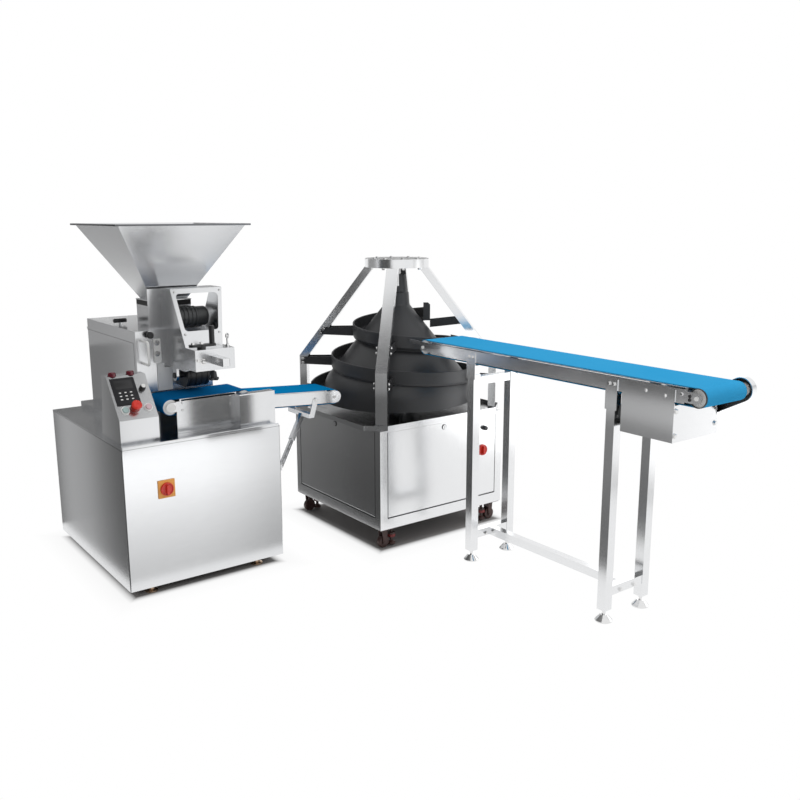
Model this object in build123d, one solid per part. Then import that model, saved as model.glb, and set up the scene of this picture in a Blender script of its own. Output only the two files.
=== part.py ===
from build123d import *
import math
import os

# Dough divider rounder: a volumetric divider with its hopper and two short belts, a conical rounder
# and an outfeed belt on legs. Millimetres, +Z up, +X along the divider's belts, -Y along the outfeed.
# Every place is measured from the divider cabinet's front left corner on the floor, and the finished
# pieces are shifted so that the origin is the middle of the floor plan.

# Sheet metal and fits
sheet = 3.0
heavy_sheet = 4.0
running_clearance = 0.05
slide_clearance = 0.3
belt_clearance = 0.3
belt_thickness = 2.7
roller_radius = 35.0
journal_radius = 8.0
journal_stand_out = 4.0
sprocket_width = 8.0
cut_overshoot = 1.0

# Divider cabinet and feet
divider_width = 785.0
divider_depth = 1032.0
divider_foot_height = 43.0
divider_deck_height = 708.0
cabinet_corner_radius = 6.0
deck_lip_width = 9.0
deck_lip_height = 10.0
base_flange_width = 165.0
foot_inset_x = 120.0
foot_inset_y = 66.0
foot_pad_radius = 30.0
foot_pad_height = 12.0
foot_stem_radius = 16.0

# Main switch on the cabinet front
main_switch_x = 194.0
main_switch_z = 498.0
switch_knob_radius = 25.0
switch_knob_height = 22.0
switch_grip_width = 13.0
switch_shaft_radius = 5.0
switch_plate_thickness = 6.0

# Control console
console_left = 18.0
console_width = 179.0
console_front = 48.0
console_front_height = 117.0
console_slope_run = 142.0
console_slope_rise = 177.0
console_top_depth = 58.0
console_back_flare = 45.0
button_radius = 14.0
button_stem_radius = 8.0
button_rise = 5.0
button_cap_height = 8.0
start_button_u = 40.0
start_button_v = 49.0
stop_button_u = 146.0
stop_button_v = 52.0
emergency_stop_u = 86.0
emergency_stop_v = 55.0
emergency_cap_radius = 23.0
emergency_rise = 26.0
emergency_cap_height = 14.0
speed_knob_u = 145.0
speed_knob_v = 150.0
speed_knob_radius = 14.0
speed_knob_height = 26.0
speed_shaft_radius = 3.0
control_stem_length = 14.0

# Drive housing behind the belts, with its rear lid
housing_left = 210.0
housing_width = 380.0
housing_front = 318.0
housing_base_height = 28.0
housing_base_margin_left = 60.0
housing_base_margin_front = 6.0
housing_base_margin_back = 17.0
housing_height = 470.0
lid_height = 50.0
lid_length = 415.0
lid_gap = 0.5
lid_handle_x = 255.0
lid_handle_inset = 40.0
lid_handle_rise = 20.0
lid_handle_length = 62.0
lid_handle_radius = 7.0
hinge_barrel_radius = 6.0
hinge_pin_radius = 3.0
hinge_leaf_height = 12.0
hinge_leaf_count = 5

# Hopper, gasket and metering chamber
throat_x = 429.0
throat_y = 495.0
throat_width = 166.0
throat_depth = 144.0
chamber_wall_x = 24.0
chamber_wall_y = 18.0
chamber_height = 104.0
chamber_edge_radius = 8.0
gasket_height = 24.0
hopper_height = 366.0
hopper_rim_width = 626.0
hopper_rim_depth = 609.0
hopper_rim_flange = 12.0
hopper_foot_thickness = 4.0

# Head in front of the housing: yoke, drum and guard
head_left = 365.0
head_width = 195.0
head_front = 0.0
cheek_thickness = 12.0
yoke_rise = 405.0
cheek_height = 113.0
beam_height = 98.0
beam_depth = 103.0
beam_plate = 10.0
beam_lip_depth = 60.0
cheek_taper_start = 120.0
drum_y = 250.0
drum_drop = 36.0
drum_radius = 60.0
drum_side_gap = 30.0
drum_shaft_radius = 14.0
drum_lug_radius = 26.0
drum_groove_width = 5.0
drum_groove_depth = 3.0
drum_groove_count = 4
drum_pocket_radius = 20.0
drum_pocket_depth = 40.0
drum_pocket_pitch = 52.0
guard_back = 372.0
guard_top_front = 252.0
guard_height = 259.0
guard_top_width = 262.0
guard_bottom_width = 185.0
guard_wing_width = 66.0
window_margin_side = 20.0
window_margin_bottom = 70.0
window_margin_top = 22.0
window_corner_radius = 18.0
weight_crank_x = 412.0
weight_crank_y = 34.0
crank_hub_radius = 20.0
crank_hub_height = 22.0
crank_arm_length = 53.0
crank_tail_length = 42.0
crank_arm_width = 36.0
crank_grip_radius = 12.5
crank_grip_height = 82.0
crank_screw_radius = 8.0
crank_screw_length = 60.0
weight_bar_x = 460.0
weight_bar_drop = 48.0
weight_bar_size = 36.0
weight_bar_stand_out = 118.0
weight_bar_inside = 60.0
star_knob_y = 22.0
star_knob_drop = 43.0
star_knob_radius = 25.0
star_knob_height = 10.0
star_hub_radius = 13.0
star_hub_height = 28.0
star_knob_lobes = 5
star_screw_radius = 6.0

# Ram chamber behind the drum
ram_barrel_wall = 10.0
ram_barrel_height = 92.0
ram_barrel_drop = 2.0
ram_barrel_length = 520.0
ram_nose_reach = 45.0
ram_length = 150.0
ram_rest_gap = 8.0
ram_rod_radius = 16.0
ram_rod_length = 80.0
drum_nose_clearance = 0.6

# Fittings on the housing's front wall
guard_plate_left = 307.0
guard_plate_width = 72.0
guard_plate_rise = 179.0
guard_plate_height = 131.0
guard_plate_step_width = 37.0
guard_plate_step_height = 21.0
guard_plate_thickness = 5.0
bolt_plate_left = 294.0
bolt_plate_width = 34.0
bolt_plate_drop = 154.0
bolt_plate_height = 113.0
bolt_plate_thickness = 12.0
bow_handle_x = 242.0
bow_handle_drop = 153.0
bow_handle_height = 108.0
bow_handle_stand_off = 75.0
bow_handle_radius = 6.0
clamp_x = 272.0
clamp_drop = 18.0
clamp_knob_radius = 16.0
clamp_knob_length = 24.0
clamp_spindle_radius = 5.0
clamp_stand_out = 12.0
clamp_spindle_inside = 12.0

# Gear motor behind the window
head_motor_y = 300.0
head_motor_rise = 56.0
head_motor_radius = 50.0
head_motor_length = 120.0
head_gearbox_radius = 47.0
head_gearbox_round = 16.0
head_gearbox_length = 55.0
head_motor_side_gap = 22.0
head_motor_foot_width = 45.0
motor_fin_count = 6
motor_fin_depth = 4.0
motor_fin_width = 6.0

# Discharge belt and transfer belt
belt_line_y = 205.0
short_belt_half_width = 97.0
transfer_plate_inner = 100.0
discharge_plate_inner = 103.0
discharge_tail_x = 278.0
discharge_head_x = 652.0
discharge_roller_rise = 136.0
discharge_panel_left = 304.0
discharge_panel_right = 600.0
discharge_panel_top = 25.0
discharge_nose_height = 44.0
discharge_tail_plate_rise = 82.0
panel_flange_width = 7.0
panel_ledge_width = 14.0
panel_ledge_rise = 11.0
bed_thickness = 3.0
cross_member_thickness = 8.0
cross_member_drop = 10.0
drive_cover_left = 600.0
drive_cover_width = 188.0
drive_cover_front = 48.0
drive_cover_height = 164.0
transfer_tail_x = 735.0
transfer_tail_rise = 103.0
transfer_head_x = 1166.0
transfer_fall = 27.0
transfer_rail_height = 62.0
transfer_nose_overhang = 11.0
short_sprocket_radius = 20.0
sprocket_inset = 22.0

# Hangers and telescopic brace under the transfer belt
hanger_width = 30.0
hanger_thickness = 4.0
hanger_top_x = 1053.0
hanger_drop = 24.0
cross_bar_x = 1025.0
cross_bar_drop = 85.0
cross_bar_height = 22.0
brace_top_y = 190.0
brace_foot_y = 30.0
brace_foot_drop = 221.0
brace_foot_stand_off = 14.0
brace_tube_size = 24.0
brace_tube_wall = 3.0
brace_tube_share_length = 180.0
brace_bar_width = 16.0
brace_slot_bridge = 6.8
brace_slot_width = 7.0
brace_slot_count = 3

# Rounder cabinet, doors and casters
rounder_x = 1672.0
rounder_y = 232.0
rounder_size = 840.0
rounder_caster_height = 111.0
rounder_height = 527.0
rounder_top_plate = 6.0
door_margin_side = 49.0
door_margin_bottom = 60.0
door_margin_top = 10.0
door_gap = 0.8
door_depth = 20.0
door_roll_radius = 6.0
door_pin_radius = 3.0
door_ear_thickness = 6.0
lock_radius = 12.0
lock_stand_out = 4.0
lock_drop = 24.0
rounder_switch_inset = 144.0
rounder_switch_z = 433.0
rounder_knob_inset = 132.0
rounder_knob_z = 557.0
rounder_knob_radius = 13.0
rounder_knob_height = 20.0
rounder_knob_shaft_radius = 4.0
caster_inset = 48.0
caster_plate_size = 84.0
caster_plate_thickness = 5.0
caster_wheel_radius = 33.0
caster_wheel_width = 26.0
caster_axle_radius = 5.0
caster_side_gap = 2.0
caster_cheek_thickness = 5.0
caster_cheek_width = 34.0
levelling_screw_radius = 8.0
levelling_pad_radius = 21.0
levelling_pad_thickness = 10.0
levelling_pad_clearance = 8.0
levelling_offset = 54.0
thumb_wheel_radius = 20.0
thumb_wheel_height = 16.0
thumb_wheel_z = 56.0

# Tray, posts and top ring
tray_overhang_x = 46.0
tray_overhang_y = 1.0
tray_cut_x = 95.0
tray_cut_y = 82.0
tray_height = 24.0
bearing_radius = 60.0
bearing_height = 50.0
post_corner_inset = 59.0
post_upright = 284.0
post_top_radius = 150.0
post_radial_size = 40.0
post_tangent_size = 60.0
post_wall = 3.0
post_base_inside = 34.0
post_base_outside = 21.0
post_base_tangent = 68.0
post_base_thickness = 6.0
ring_radius = 176.0
ring_height = 46.0
ring_wall = 4.0
ring_top_plate = 6.0
ring_flange_inner_radius = 112.0
ring_hub_radius = 45.0
ring_hub_depth = 38.0
cone_shaft_radius = 20.0

# Cone and spiral track
cone_wall = 6.0
neck_top_radius = 49.0
neck_ring_gap = 40.0
neck_length = 93.0
neck_bottom_radius = 59.0
neck_shoulder = 7.0
collar_top_radius = 66.0
collar_length = 60.0
collar_bottom_radius = 70.0
collar_shoulder = 10.0
cone_top_radius = 73.0
cone_height = 525.0
cone_half_angle = 38.9
skirt_radius = 412.0
skirt_blend_radius = 150.0
skirt_clearance = 56.0
track_turn_count = 2.5
track_top_angle = -36.6
track_rim_drop = 7.0
track_turn_drop = 170.0
track_top_radius = 185.0
track_turn_growth = 121.0
track_wall_height = 80.0
track_wall = 8.0
track_rim_chamfer = 2.5
track_floor_gap = 4.0
track_floor_bend = 16.0
track_sections_per_turn = 12
track_cap_rise = 20.0
track_cap_thickness = 5.0
track_cap_corner = 12.0
arm_thickness = 6.0
arm_wall_half_height = 25.0
arm_post_half_height = 20.0
arm_post_overlap = 32.0
arm_below_rim = 60.0
arm_wall_gap = 0.5

# Gear motor under the rounder's top plate
cone_gearbox_size = 150.0
cone_gearbox_height = 130.0
cone_motor_radius = 60.0
cone_motor_length = 190.0
cone_motor_drop = 66.0
cone_shaft_below = 10.0

# Outfeed conveyor
outfeed_x = 1683.0
outfeed_tail_y = -168.0
outfeed_head_y = -1800.0
outfeed_roller_z = 1042.0
outfeed_belt_half_width = 127.0
outfeed_plate_inner = 139.0
outfeed_rail_height = 56.0
outfeed_rail_flange = 10.0
rail_tail_inset = 57.0
rail_head_inset = 52.0
bearing_plate_height = 44.0
bearing_plate_length = 75.0
take_up_reach = 112.0
take_up_low = 18.0
take_up_neck = 26.0
take_up_tip_low = 12.0
take_up_tip_high = 32.0
leg_y_near = -1405.0
leg_y_far = -546.0
leg_insert_size = 38.0
leg_tube_size = 44.0
leg_tube_wall = 3.0
leg_insert_wall = 2.0
leg_bottom = 52.0
leg_top_drop = 44.0
leg_insert_show = 43.0
leg_insert_overlap = 60.0
leg_bar_height = 40.0
leg_upper_bar_drop = 53.0
leg_lower_bar_bottom = 115.0
leg_bracket_height = 128.0
leg_bracket_width = 60.0
leg_bracket_thickness = 4.0
leg_bracket_rise = 18.0
disc_foot_radius = 38.0
disc_foot_height = 9.0
disc_foot_cone_height = 20.0
disc_foot_stem_radius = 8.0
drive_box_near_y = -1708.0
drive_box_depth = 250.0
drive_box_drop = 189.0
drive_box_height = 147.0
drive_box_ear = 62.0
drive_box_corner_cut = 45.0
chain_guard_radius = 50.0
chain_guard_width = 30.0
outfeed_motor_y = -1590.0
outfeed_motor_drop = 114.0
outfeed_motor_offset = 110.0
outfeed_motor_radius = 50.0
outfeed_motor_length = 205.0
outfeed_gearbox_size = 90.0
outfeed_gearbox_length = 70.0
outfeed_sprocket_radius = 26.0
outfeed_shaft_radius = 12.0

# The rounder's plan follows its cabinet
rounder_half = rounder_size / 2
tray_half_x = rounder_half + tray_overhang_x
tray_half_y = rounder_half + tray_overhang_y
post_foot_radius = rounder_half * math.sqrt(2) - post_corner_inset
rounder_switch_x = rounder_half - rounder_switch_inset
rounder_knob_x = rounder_half - rounder_knob_inset

# Middle of the floor plan; the track's widest crossing of the +X side may reach past the tray
track_right_turn = math.floor(track_turn_count + track_top_angle / 360) - track_top_angle / 360
track_right_radius = track_top_radius + track_turn_growth * track_right_turn
plan_right = rounder_x + max(tray_half_x, track_right_radius)
plan_near = outfeed_head_y - chain_guard_radius
plan_centre_x = plan_right / 2
plan_centre_y = (divider_depth + plan_near) / 2

# Heights of the divider's pieces follow its deck
housing_top_height = divider_deck_height + housing_height
yoke_top = divider_deck_height + yoke_rise
cheek_bottom = yoke_top - cheek_height
beam_bottom = yoke_top - beam_height
drum_z = cheek_bottom - drum_drop
weight_bar_z = yoke_top - weight_bar_drop
star_knob_z = beam_bottom - star_knob_drop
guard_plate_bottom = divider_deck_height + guard_plate_rise
bolt_plate_bottom = housing_top_height - bolt_plate_drop
bow_handle_bottom = housing_top_height - bow_handle_drop
clamp_z = housing_top_height - clamp_drop
head_motor_z = housing_top_height + head_motor_rise
discharge_roller_z = divider_deck_height + discharge_roller_rise
transfer_tail_z = divider_deck_height + transfer_tail_rise
transfer_head_z = transfer_tail_z - transfer_fall
hanger_top_z = transfer_tail_z - hanger_drop
cross_bar_z = hanger_top_z - cross_bar_drop
brace_foot_z = divider_deck_height - brace_foot_drop

# Heights of the rounder's pieces follow its tray
rounder_top_height = rounder_caster_height + rounder_height
tray_floor = rounder_top_height + sheet
post_bend_height = tray_floor + post_upright
skirt_bottom_height = tray_floor + skirt_clearance
cone_top_height = skirt_bottom_height + cone_height
collar_bottom_height = cone_top_height + collar_shoulder
collar_top_height = collar_bottom_height + collar_length
neck_bottom_height = collar_top_height + neck_shoulder
neck_top_height = neck_bottom_height + neck_length
ring_bottom = neck_top_height + neck_ring_gap
track_top_rim = cone_top_height - track_rim_drop

# Heights of the outfeed's pieces follow its rollers
leg_top = outfeed_roller_z - leg_top_drop
leg_tube_top = leg_top - leg_insert_show
leg_bracket_top = outfeed_roller_z + leg_bracket_rise
drive_box_bottom = outfeed_roller_z - drive_box_drop
drive_box_top = drive_box_bottom + drive_box_height
drive_box_side_top = drive_box_top + drive_box_ear
outfeed_motor_z = outfeed_roller_z - outfeed_motor_drop


def slab(x0, x1, y0, y1, z0, z1):
    """Rectangular solid between two opposite corners."""
    middle = Pos((x0 + x1) / 2, (y0 + y1) / 2, (z0 + z1) / 2)
    return middle * Box(x1 - x0, y1 - y0, z1 - z0)


def along_x(points, x0, x1):
    """Prism of a (y, z) outline from x0 to x1."""
    outline = make_face(Polyline(*points, close=True))
    return extrude(Plane.YZ.offset(x0) * outline, x1 - x0)


def along_y(points, y0, y1):
    """Prism of an (x, z) outline from y0 to y1."""
    outline = make_face(Polyline(*points, close=True))
    return extrude(Plane.XZ.offset(-y0) * outline, y0 - y1)


def along_z(points, z0, z1):
    """Prism of an (x, y) outline from z0 to z1."""
    outline = make_face(Polyline(*points, close=True))
    return extrude(Plane.XY.offset(z0) * outline, z1 - z0)


def rod(start, finish, radius):
    """Round bar between two points."""
    axis = Vector(*finish) - Vector(*start)
    seat = Plane(origin=start, z_dir=axis)
    return seat * Cylinder(radius, axis.length, align=(Align.CENTER, Align.CENTER, Align.MIN))


def turned(points):
    """Solid turned about Z from an (r, z) outline."""
    outline = make_face(Polyline(*points, close=True))
    return revolve(Plane.XZ * outline, Axis.Z)


def four_corners(x0, x1, y0, y1):
    """The four corners of a rectangle."""
    return [(x, y) for x in (x0, x1) for y in (y0, y1)]


# Belt conveyors: local x runs from tail roller to head roller, y across, z up, origin at the tail roller
def belt_loop(length, half_width):
    """Endless belt around two rollers."""
    inner = 2 * (roller_radius + belt_clearance)
    outer = inner + 2 * belt_thickness
    ring = SlotCenterToCenter(length, outer) - SlotCenterToCenter(length, inner)
    side = Plane.XZ.offset(-half_width) * Pos(length / 2, 0) * ring
    return extrude(side, 2 * half_width)


def belt_roller(half_width, plate_outer, drive_reach=0.0, sprocket_radius=0.0):
    """Roller with two journals, and a sprocket on the +y journal where it is driven."""
    end = plate_outer + journal_stand_out
    body = rod((0, -half_width, 0), (0, half_width, 0), roller_radius)
    body += rod((0, -end, 0), (0, end + drive_reach, 0), journal_radius)
    if drive_reach > 0:
        wheel_start = end + drive_reach - sprocket_width
        body += rod((0, wheel_start, 0), (0, end + drive_reach, 0), sprocket_radius)
    return body


def conveyor_bed(length, half_gap):
    """Slider bed on cross members that stand between the side plates."""
    start = roller_radius + cross_member_thickness
    finish = length - start
    bed_low = roller_radius - bed_thickness
    bed = slab(start, finish, -half_gap, half_gap, bed_low, roller_radius)
    for place in (start, finish - cross_member_thickness):
        bed += slab(place, place + cross_member_thickness, -half_gap, half_gap,
                    -cross_member_drop, bed_low)
    return bed


def rail_plate(x0, x1, height, y0, y1):
    """Round-ended side rail between two end centres."""
    side = Plane.XZ.offset(-y1) * Pos((x0 + x1) / 2, 0) * SlotCenterToCenter(x1 - x0, height)
    return extrude(side, y1 - y0)


def both_sides(inner, outer):
    """The two strips across a conveyor that lie between an inner and an outer distance."""
    return ((-outer, -inner), (inner, outer))


def journal_bores(length, half_gap):
    """Bores for the journals at both ends of a conveyor."""
    radius = journal_radius + running_clearance
    reach = half_gap + 2 * sheet
    tail = rod((0, -reach, 0), (0, reach, 0), radius)
    return tail + Pos(length, 0, 0) * tail


discharge_length = discharge_head_x - discharge_tail_x
transfer_run = transfer_head_x - transfer_tail_x
transfer_length = math.hypot(transfer_run, transfer_fall)
transfer_slope = math.degrees(math.atan2(transfer_fall, transfer_run))
outfeed_length = outfeed_tail_y - outfeed_head_y
discharge_place = Location((discharge_tail_x, belt_line_y, discharge_roller_z))
transfer_place = Location((transfer_tail_x, belt_line_y, transfer_tail_z), (0, transfer_slope, 0))
outfeed_place = Location((outfeed_x, outfeed_tail_y, outfeed_roller_z), (0, 0, -90))


# Divider
def divider_cabinet():
    """Sheet metal cabinet with a lip along the deck's front edge, open in the middle of its floor."""
    body = slab(0, divider_width, 0, divider_depth, divider_foot_height, divider_deck_height)
    body = fillet(body.edges().filter_by(Axis.Z), cabinet_corner_radius)
    inner_low = divider_foot_height + sheet
    body -= slab(sheet, divider_width - sheet, sheet, divider_depth - sheet,
                 inner_low, divider_deck_height - sheet)
    body -= slab(base_flange_width, divider_width - base_flange_width,
                 base_flange_width, divider_depth - base_flange_width, 0, inner_low)
    bore = switch_shaft_radius + running_clearance
    body -= rod((main_switch_x, -sheet, main_switch_z), (main_switch_x, 2 * sheet, main_switch_z), bore)
    lip = slab(cabinet_corner_radius, divider_width - cabinet_corner_radius, 0, deck_lip_width,
               divider_deck_height - sheet, divider_deck_height + deck_lip_height)
    return body + fillet(lip.edges().filter_by(Axis.X).group_by(Axis.Z)[-1], deck_lip_width / 3)


def divider_feet():
    """Four turned feet under the cabinet's corners."""
    foot = turned([
        (0, 0), (foot_pad_radius, 0), (foot_pad_radius, foot_pad_height / 2),
        (foot_stem_radius, foot_pad_height), (foot_stem_radius, divider_foot_height), (0, divider_foot_height),
    ])
    places = four_corners(foot_inset_x, divider_width - foot_inset_x,
                          foot_inset_y, divider_depth - foot_inset_y)
    return [Pos(x, y, 0) * foot for x, y in places]


def rotary_knob(shaft_length):
    """Turning switch knob: round base with a raised grip, pointing along +Z from its seat."""
    base_height = switch_knob_height / 3
    knob = Pos(0, 0, base_height / 2) * Cylinder(switch_knob_radius, base_height)
    knob = fillet(knob.edges().group_by(Axis.Z)[-1], base_height / 4)
    grip = slab(-switch_grip_width / 2, switch_grip_width / 2,
                -switch_knob_radius + sheet, switch_knob_radius - sheet, 0, switch_knob_height)
    grip = fillet(grip.edges().filter_by(Axis.Z), switch_grip_width / 3)
    return knob + grip + rod((0, 0, -shaft_length), (0, 0, 0), switch_shaft_radius)


def facing_front(x, y, z):
    """Place for a piece that points towards -Y."""
    return Plane(origin=(x, y, z), x_dir=(1, 0, 0), z_dir=(0, -1, 0))


def divider_switch_knob():
    """Main switch knob in front of its plate."""
    seat = facing_front(main_switch_x, -switch_plate_thickness, main_switch_z)
    return seat * rotary_knob(switch_plate_thickness + sheet)


console_top_front = divider_deck_height + console_front_height
console_slope_length = math.hypot(console_slope_run, console_slope_rise)
slope_plane = Plane(
    origin=(console_left, console_front, console_top_front),
    x_dir=(1, 0, 0),
    z_dir=(0, -console_slope_rise, console_slope_run),
)


def console_outline(wall):
    """Side outline of the console, drawn in by a wall; the bottom stays on the deck."""
    slope_y = wall * console_slope_length / console_slope_rise
    bend = wall * (console_slope_length - console_slope_run) / console_slope_rise
    back_top = console_front + console_slope_run + console_top_depth
    top = console_top_front + console_slope_rise
    lower_bend = wall * (console_slope_length - console_slope_rise) / console_slope_run
    return [
        (console_front + wall, divider_deck_height),
        (console_front + wall, console_top_front - lower_bend),
        (console_front + console_slope_run + bend, top - wall),
        (back_top - wall, top - wall),
        (back_top + console_back_flare - slope_y, divider_deck_height),
    ]


def console_housing():
    """Folded sheet console with holes for its controls."""
    body = along_x(console_outline(0), console_left, console_left + console_width)
    body -= along_x(console_outline(sheet), console_left + sheet, console_left + console_width - sheet)
    holes = [
        (start_button_u, start_button_v, button_stem_radius),
        (stop_button_u, stop_button_v, button_stem_radius),
        (emergency_stop_u, emergency_stop_v, button_stem_radius),
        (speed_knob_u, speed_knob_v, speed_shaft_radius),
    ]
    for u, v, radius in holes:
        bore = Cylinder(radius + running_clearance, 4 * sheet)
        body -= slope_plane * Pos(u, v, 0) * bore
    return body


def push_button(u, v):
    """Round push button on a stem through the console's slope."""
    stem = rod((0, 0, -control_stem_length), (0, 0, button_rise), button_stem_radius)
    cap = Pos(0, 0, button_rise + button_cap_height / 2) * Cylinder(button_radius, button_cap_height)
    cap = fillet(cap.edges().group_by(Axis.Z)[-1], button_cap_height / 4)
    return slope_plane * Pos(u, v, 0) * (stem + cap)


def console_emergency_stop():
    """Mushroom head on a stem."""
    crown = emergency_rise + emergency_cap_height
    head = turned([
        (0, -control_stem_length), (button_stem_radius, -control_stem_length),
        (button_stem_radius, emergency_rise), (emergency_cap_radius * 0.8, emergency_rise),
        (emergency_cap_radius, emergency_rise + emergency_cap_height / 3),
        (emergency_cap_radius, crown - emergency_cap_height / 3), (emergency_cap_radius * 0.75, crown),
        (0, crown),
    ])
    return slope_plane * Pos(emergency_stop_u, emergency_stop_v, 0) * head


def console_speed_knob():
    """Dial knob with a skirt."""
    knob = turned([
        (0, -control_stem_length), (speed_shaft_radius, -control_stem_length),
        (speed_shaft_radius, slide_clearance), (speed_knob_radius, slide_clearance),
        (speed_knob_radius, speed_knob_height / 3),
        (speed_knob_radius * 0.78, speed_knob_height / 2), (speed_knob_radius * 0.72, speed_knob_height),
        (0, speed_knob_height),
    ])
    return slope_plane * Pos(speed_knob_u, speed_knob_v, 0) * knob


housing_right = housing_left + housing_width
housing_back = divider_depth - housing_base_margin_back
housing_low = divider_deck_height + housing_base_height
lid_front = housing_back - lid_length
lid_bottom = housing_top_height - lid_height
hinge_y = housing_back + hinge_barrel_radius
throat_x0 = throat_x - throat_width / 2
throat_x1 = throat_x + throat_width / 2
throat_y0 = throat_y - throat_depth / 2
throat_y1 = throat_y + throat_depth / 2
head_right = head_left + head_width
drum_left = head_left + cheek_thickness + drum_side_gap
drum_right = head_right - cheek_thickness - drum_side_gap
barrel_top = cheek_bottom - ram_barrel_drop
barrel_bottom = barrel_top - ram_barrel_height


def hinge_half(first, leaf_low, leaf_high, bored):
    """Every second knuckle of the lid hinge, with its leaf."""
    step = housing_width / hinge_leaf_count
    knuckles = []
    for index in range(first, hinge_leaf_count, 2):
        x0 = housing_left + index * step + slide_clearance
        x1 = x0 + step - 2 * slide_clearance
        barrel = rod((x0, hinge_y, lid_bottom), (x1, hinge_y, lid_bottom), hinge_barrel_radius)
        barrel += slab(x0, x1, housing_back, hinge_y, lid_bottom + leaf_low, lid_bottom + leaf_high)
        if bored:
            bore = hinge_pin_radius + running_clearance
            barrel -= rod((x0 - cut_overshoot, hinge_y, lid_bottom), (x1 + cut_overshoot, hinge_y, lid_bottom),
                          bore)
        knuckles.append(barrel)
    return knuckles


def drive_housing():
    """Housing on a base flange, stepped down under the lid, with its half of the hinge."""
    steps = [
        (housing_front, housing_low), (housing_back, housing_low), (housing_back, lid_bottom),
        (lid_front, lid_bottom), (lid_front, housing_top_height), (housing_front, housing_top_height),
    ]
    wall = heavy_sheet
    inside = [
        (housing_front + wall, divider_deck_height), (housing_back - wall, divider_deck_height),
        (housing_back - wall, lid_bottom), (lid_front - wall, lid_bottom),
        (lid_front - wall, housing_top_height - wall), (housing_front + wall, housing_top_height - wall),
    ]
    body = along_x(steps, housing_left, housing_right)
    body += slab(housing_left - housing_base_margin_left, housing_right + housing_base_margin_left,
                 housing_front - housing_base_margin_front, housing_back + housing_base_margin_back,
                 divider_deck_height, housing_low)
    body -= along_x(inside, housing_left + wall, housing_right - wall)
    body -= slab(throat_x0, throat_x1, throat_y0, throat_y1, lid_bottom, housing_top_height)
    body -= slab(drum_left - slide_clearance, drum_right + slide_clearance, housing_front, housing_front + wall,
                 barrel_bottom - slide_clearance, barrel_top + slide_clearance)
    spindle_bore = clamp_spindle_radius + running_clearance
    body -= rod((clamp_x, housing_front - cut_overshoot, clamp_z),
                (clamp_x, housing_front + wall + cut_overshoot, clamp_z), spindle_bore)
    for knuckle in hinge_half(0, -hinge_leaf_height, 0, False):
        body += knuckle
    body += rod((housing_left + slide_clearance, hinge_y, lid_bottom),
                (housing_right - slide_clearance, hinge_y, lid_bottom), hinge_pin_radius)
    return body


def housing_lid():
    """Rear cover with its T-handle and its half of the hinge."""
    wall = heavy_sheet
    front = lid_front + lid_gap
    lid = slab(housing_left, housing_right, front, housing_back, lid_bottom, housing_top_height)
    lid = fillet(lid.edges().filter_by(Axis.X).group_by(Axis.Z)[-1], wall)
    lid -= slab(housing_left + wall, housing_right - wall, front + wall, housing_back - wall,
                lid_bottom, housing_top_height - wall)
    handle_y = lid_front + lid_handle_inset
    handle_z = housing_top_height + lid_handle_rise
    half = lid_handle_length / 2
    lid += rod((lid_handle_x, handle_y, housing_top_height - wall), (lid_handle_x, handle_y, handle_z),
               lid_handle_radius)
    lid += rod((lid_handle_x - half, handle_y, handle_z), (lid_handle_x + half, handle_y, handle_z),
               lid_handle_radius)
    for knuckle in hinge_half(1, 0, hinge_leaf_height, True):
        lid += knuckle
    return lid


def throat_passage(z0, z1):
    """The dough's way down, used to cut every piece that it passes."""
    return slab(throat_x0, throat_x1, throat_y0, throat_y1, z0, z1)


def throat_block(z0, z1):
    """Block around the throat."""
    return slab(throat_x0 - chamber_wall_x, throat_x1 + chamber_wall_x,
                throat_y0 - chamber_wall_y, throat_y1 + chamber_wall_y, z0, z1)


chamber_top = housing_top_height + chamber_height
hopper_bottom = chamber_top + gasket_height
hopper_top = hopper_bottom + hopper_height


def metering_chamber():
    """Cast neck between the housing and the hopper, waisted under its flange."""
    body = throat_block(housing_top_height, chamber_top)
    body = fillet(body.edges().filter_by(Axis.Z), chamber_edge_radius)
    return body - throat_passage(housing_top_height, chamber_top)


def hopper_gasket():
    """Thick seal frame under the hopper."""
    body = throat_block(chamber_top, hopper_bottom)
    body = fillet(body.edges().filter_by(Axis.Z), chamber_edge_radius)
    return body - throat_passage(chamber_top, hopper_bottom)


def funnel(margin):
    """Square funnel between the throat and the rim, grown outwards by a margin."""
    low = Pos(0, 0, hopper_bottom) * Rectangle(throat_width + 2 * margin, throat_depth + 2 * margin)
    rim_margin = 2 * (margin - sheet)
    high = Pos(0, 0, hopper_top) * Rectangle(hopper_rim_width + rim_margin,
                                             hopper_rim_depth + rim_margin)
    return Pos(throat_x, throat_y, 0) * loft([low, high], ruled=True)


def hopper():
    """Sheet metal hopper with a foot plate and an outward rim."""
    rim_x = hopper_rim_width / 2 + hopper_rim_flange
    rim_y = hopper_rim_depth / 2 + hopper_rim_flange
    body = funnel(sheet)
    body += throat_block(hopper_bottom, hopper_bottom + hopper_foot_thickness)
    body += slab(throat_x - rim_x, throat_x + rim_x, throat_y - rim_y, throat_y + rim_y,
                 hopper_top - sheet, hopper_top)
    return body - funnel(0)


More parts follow.
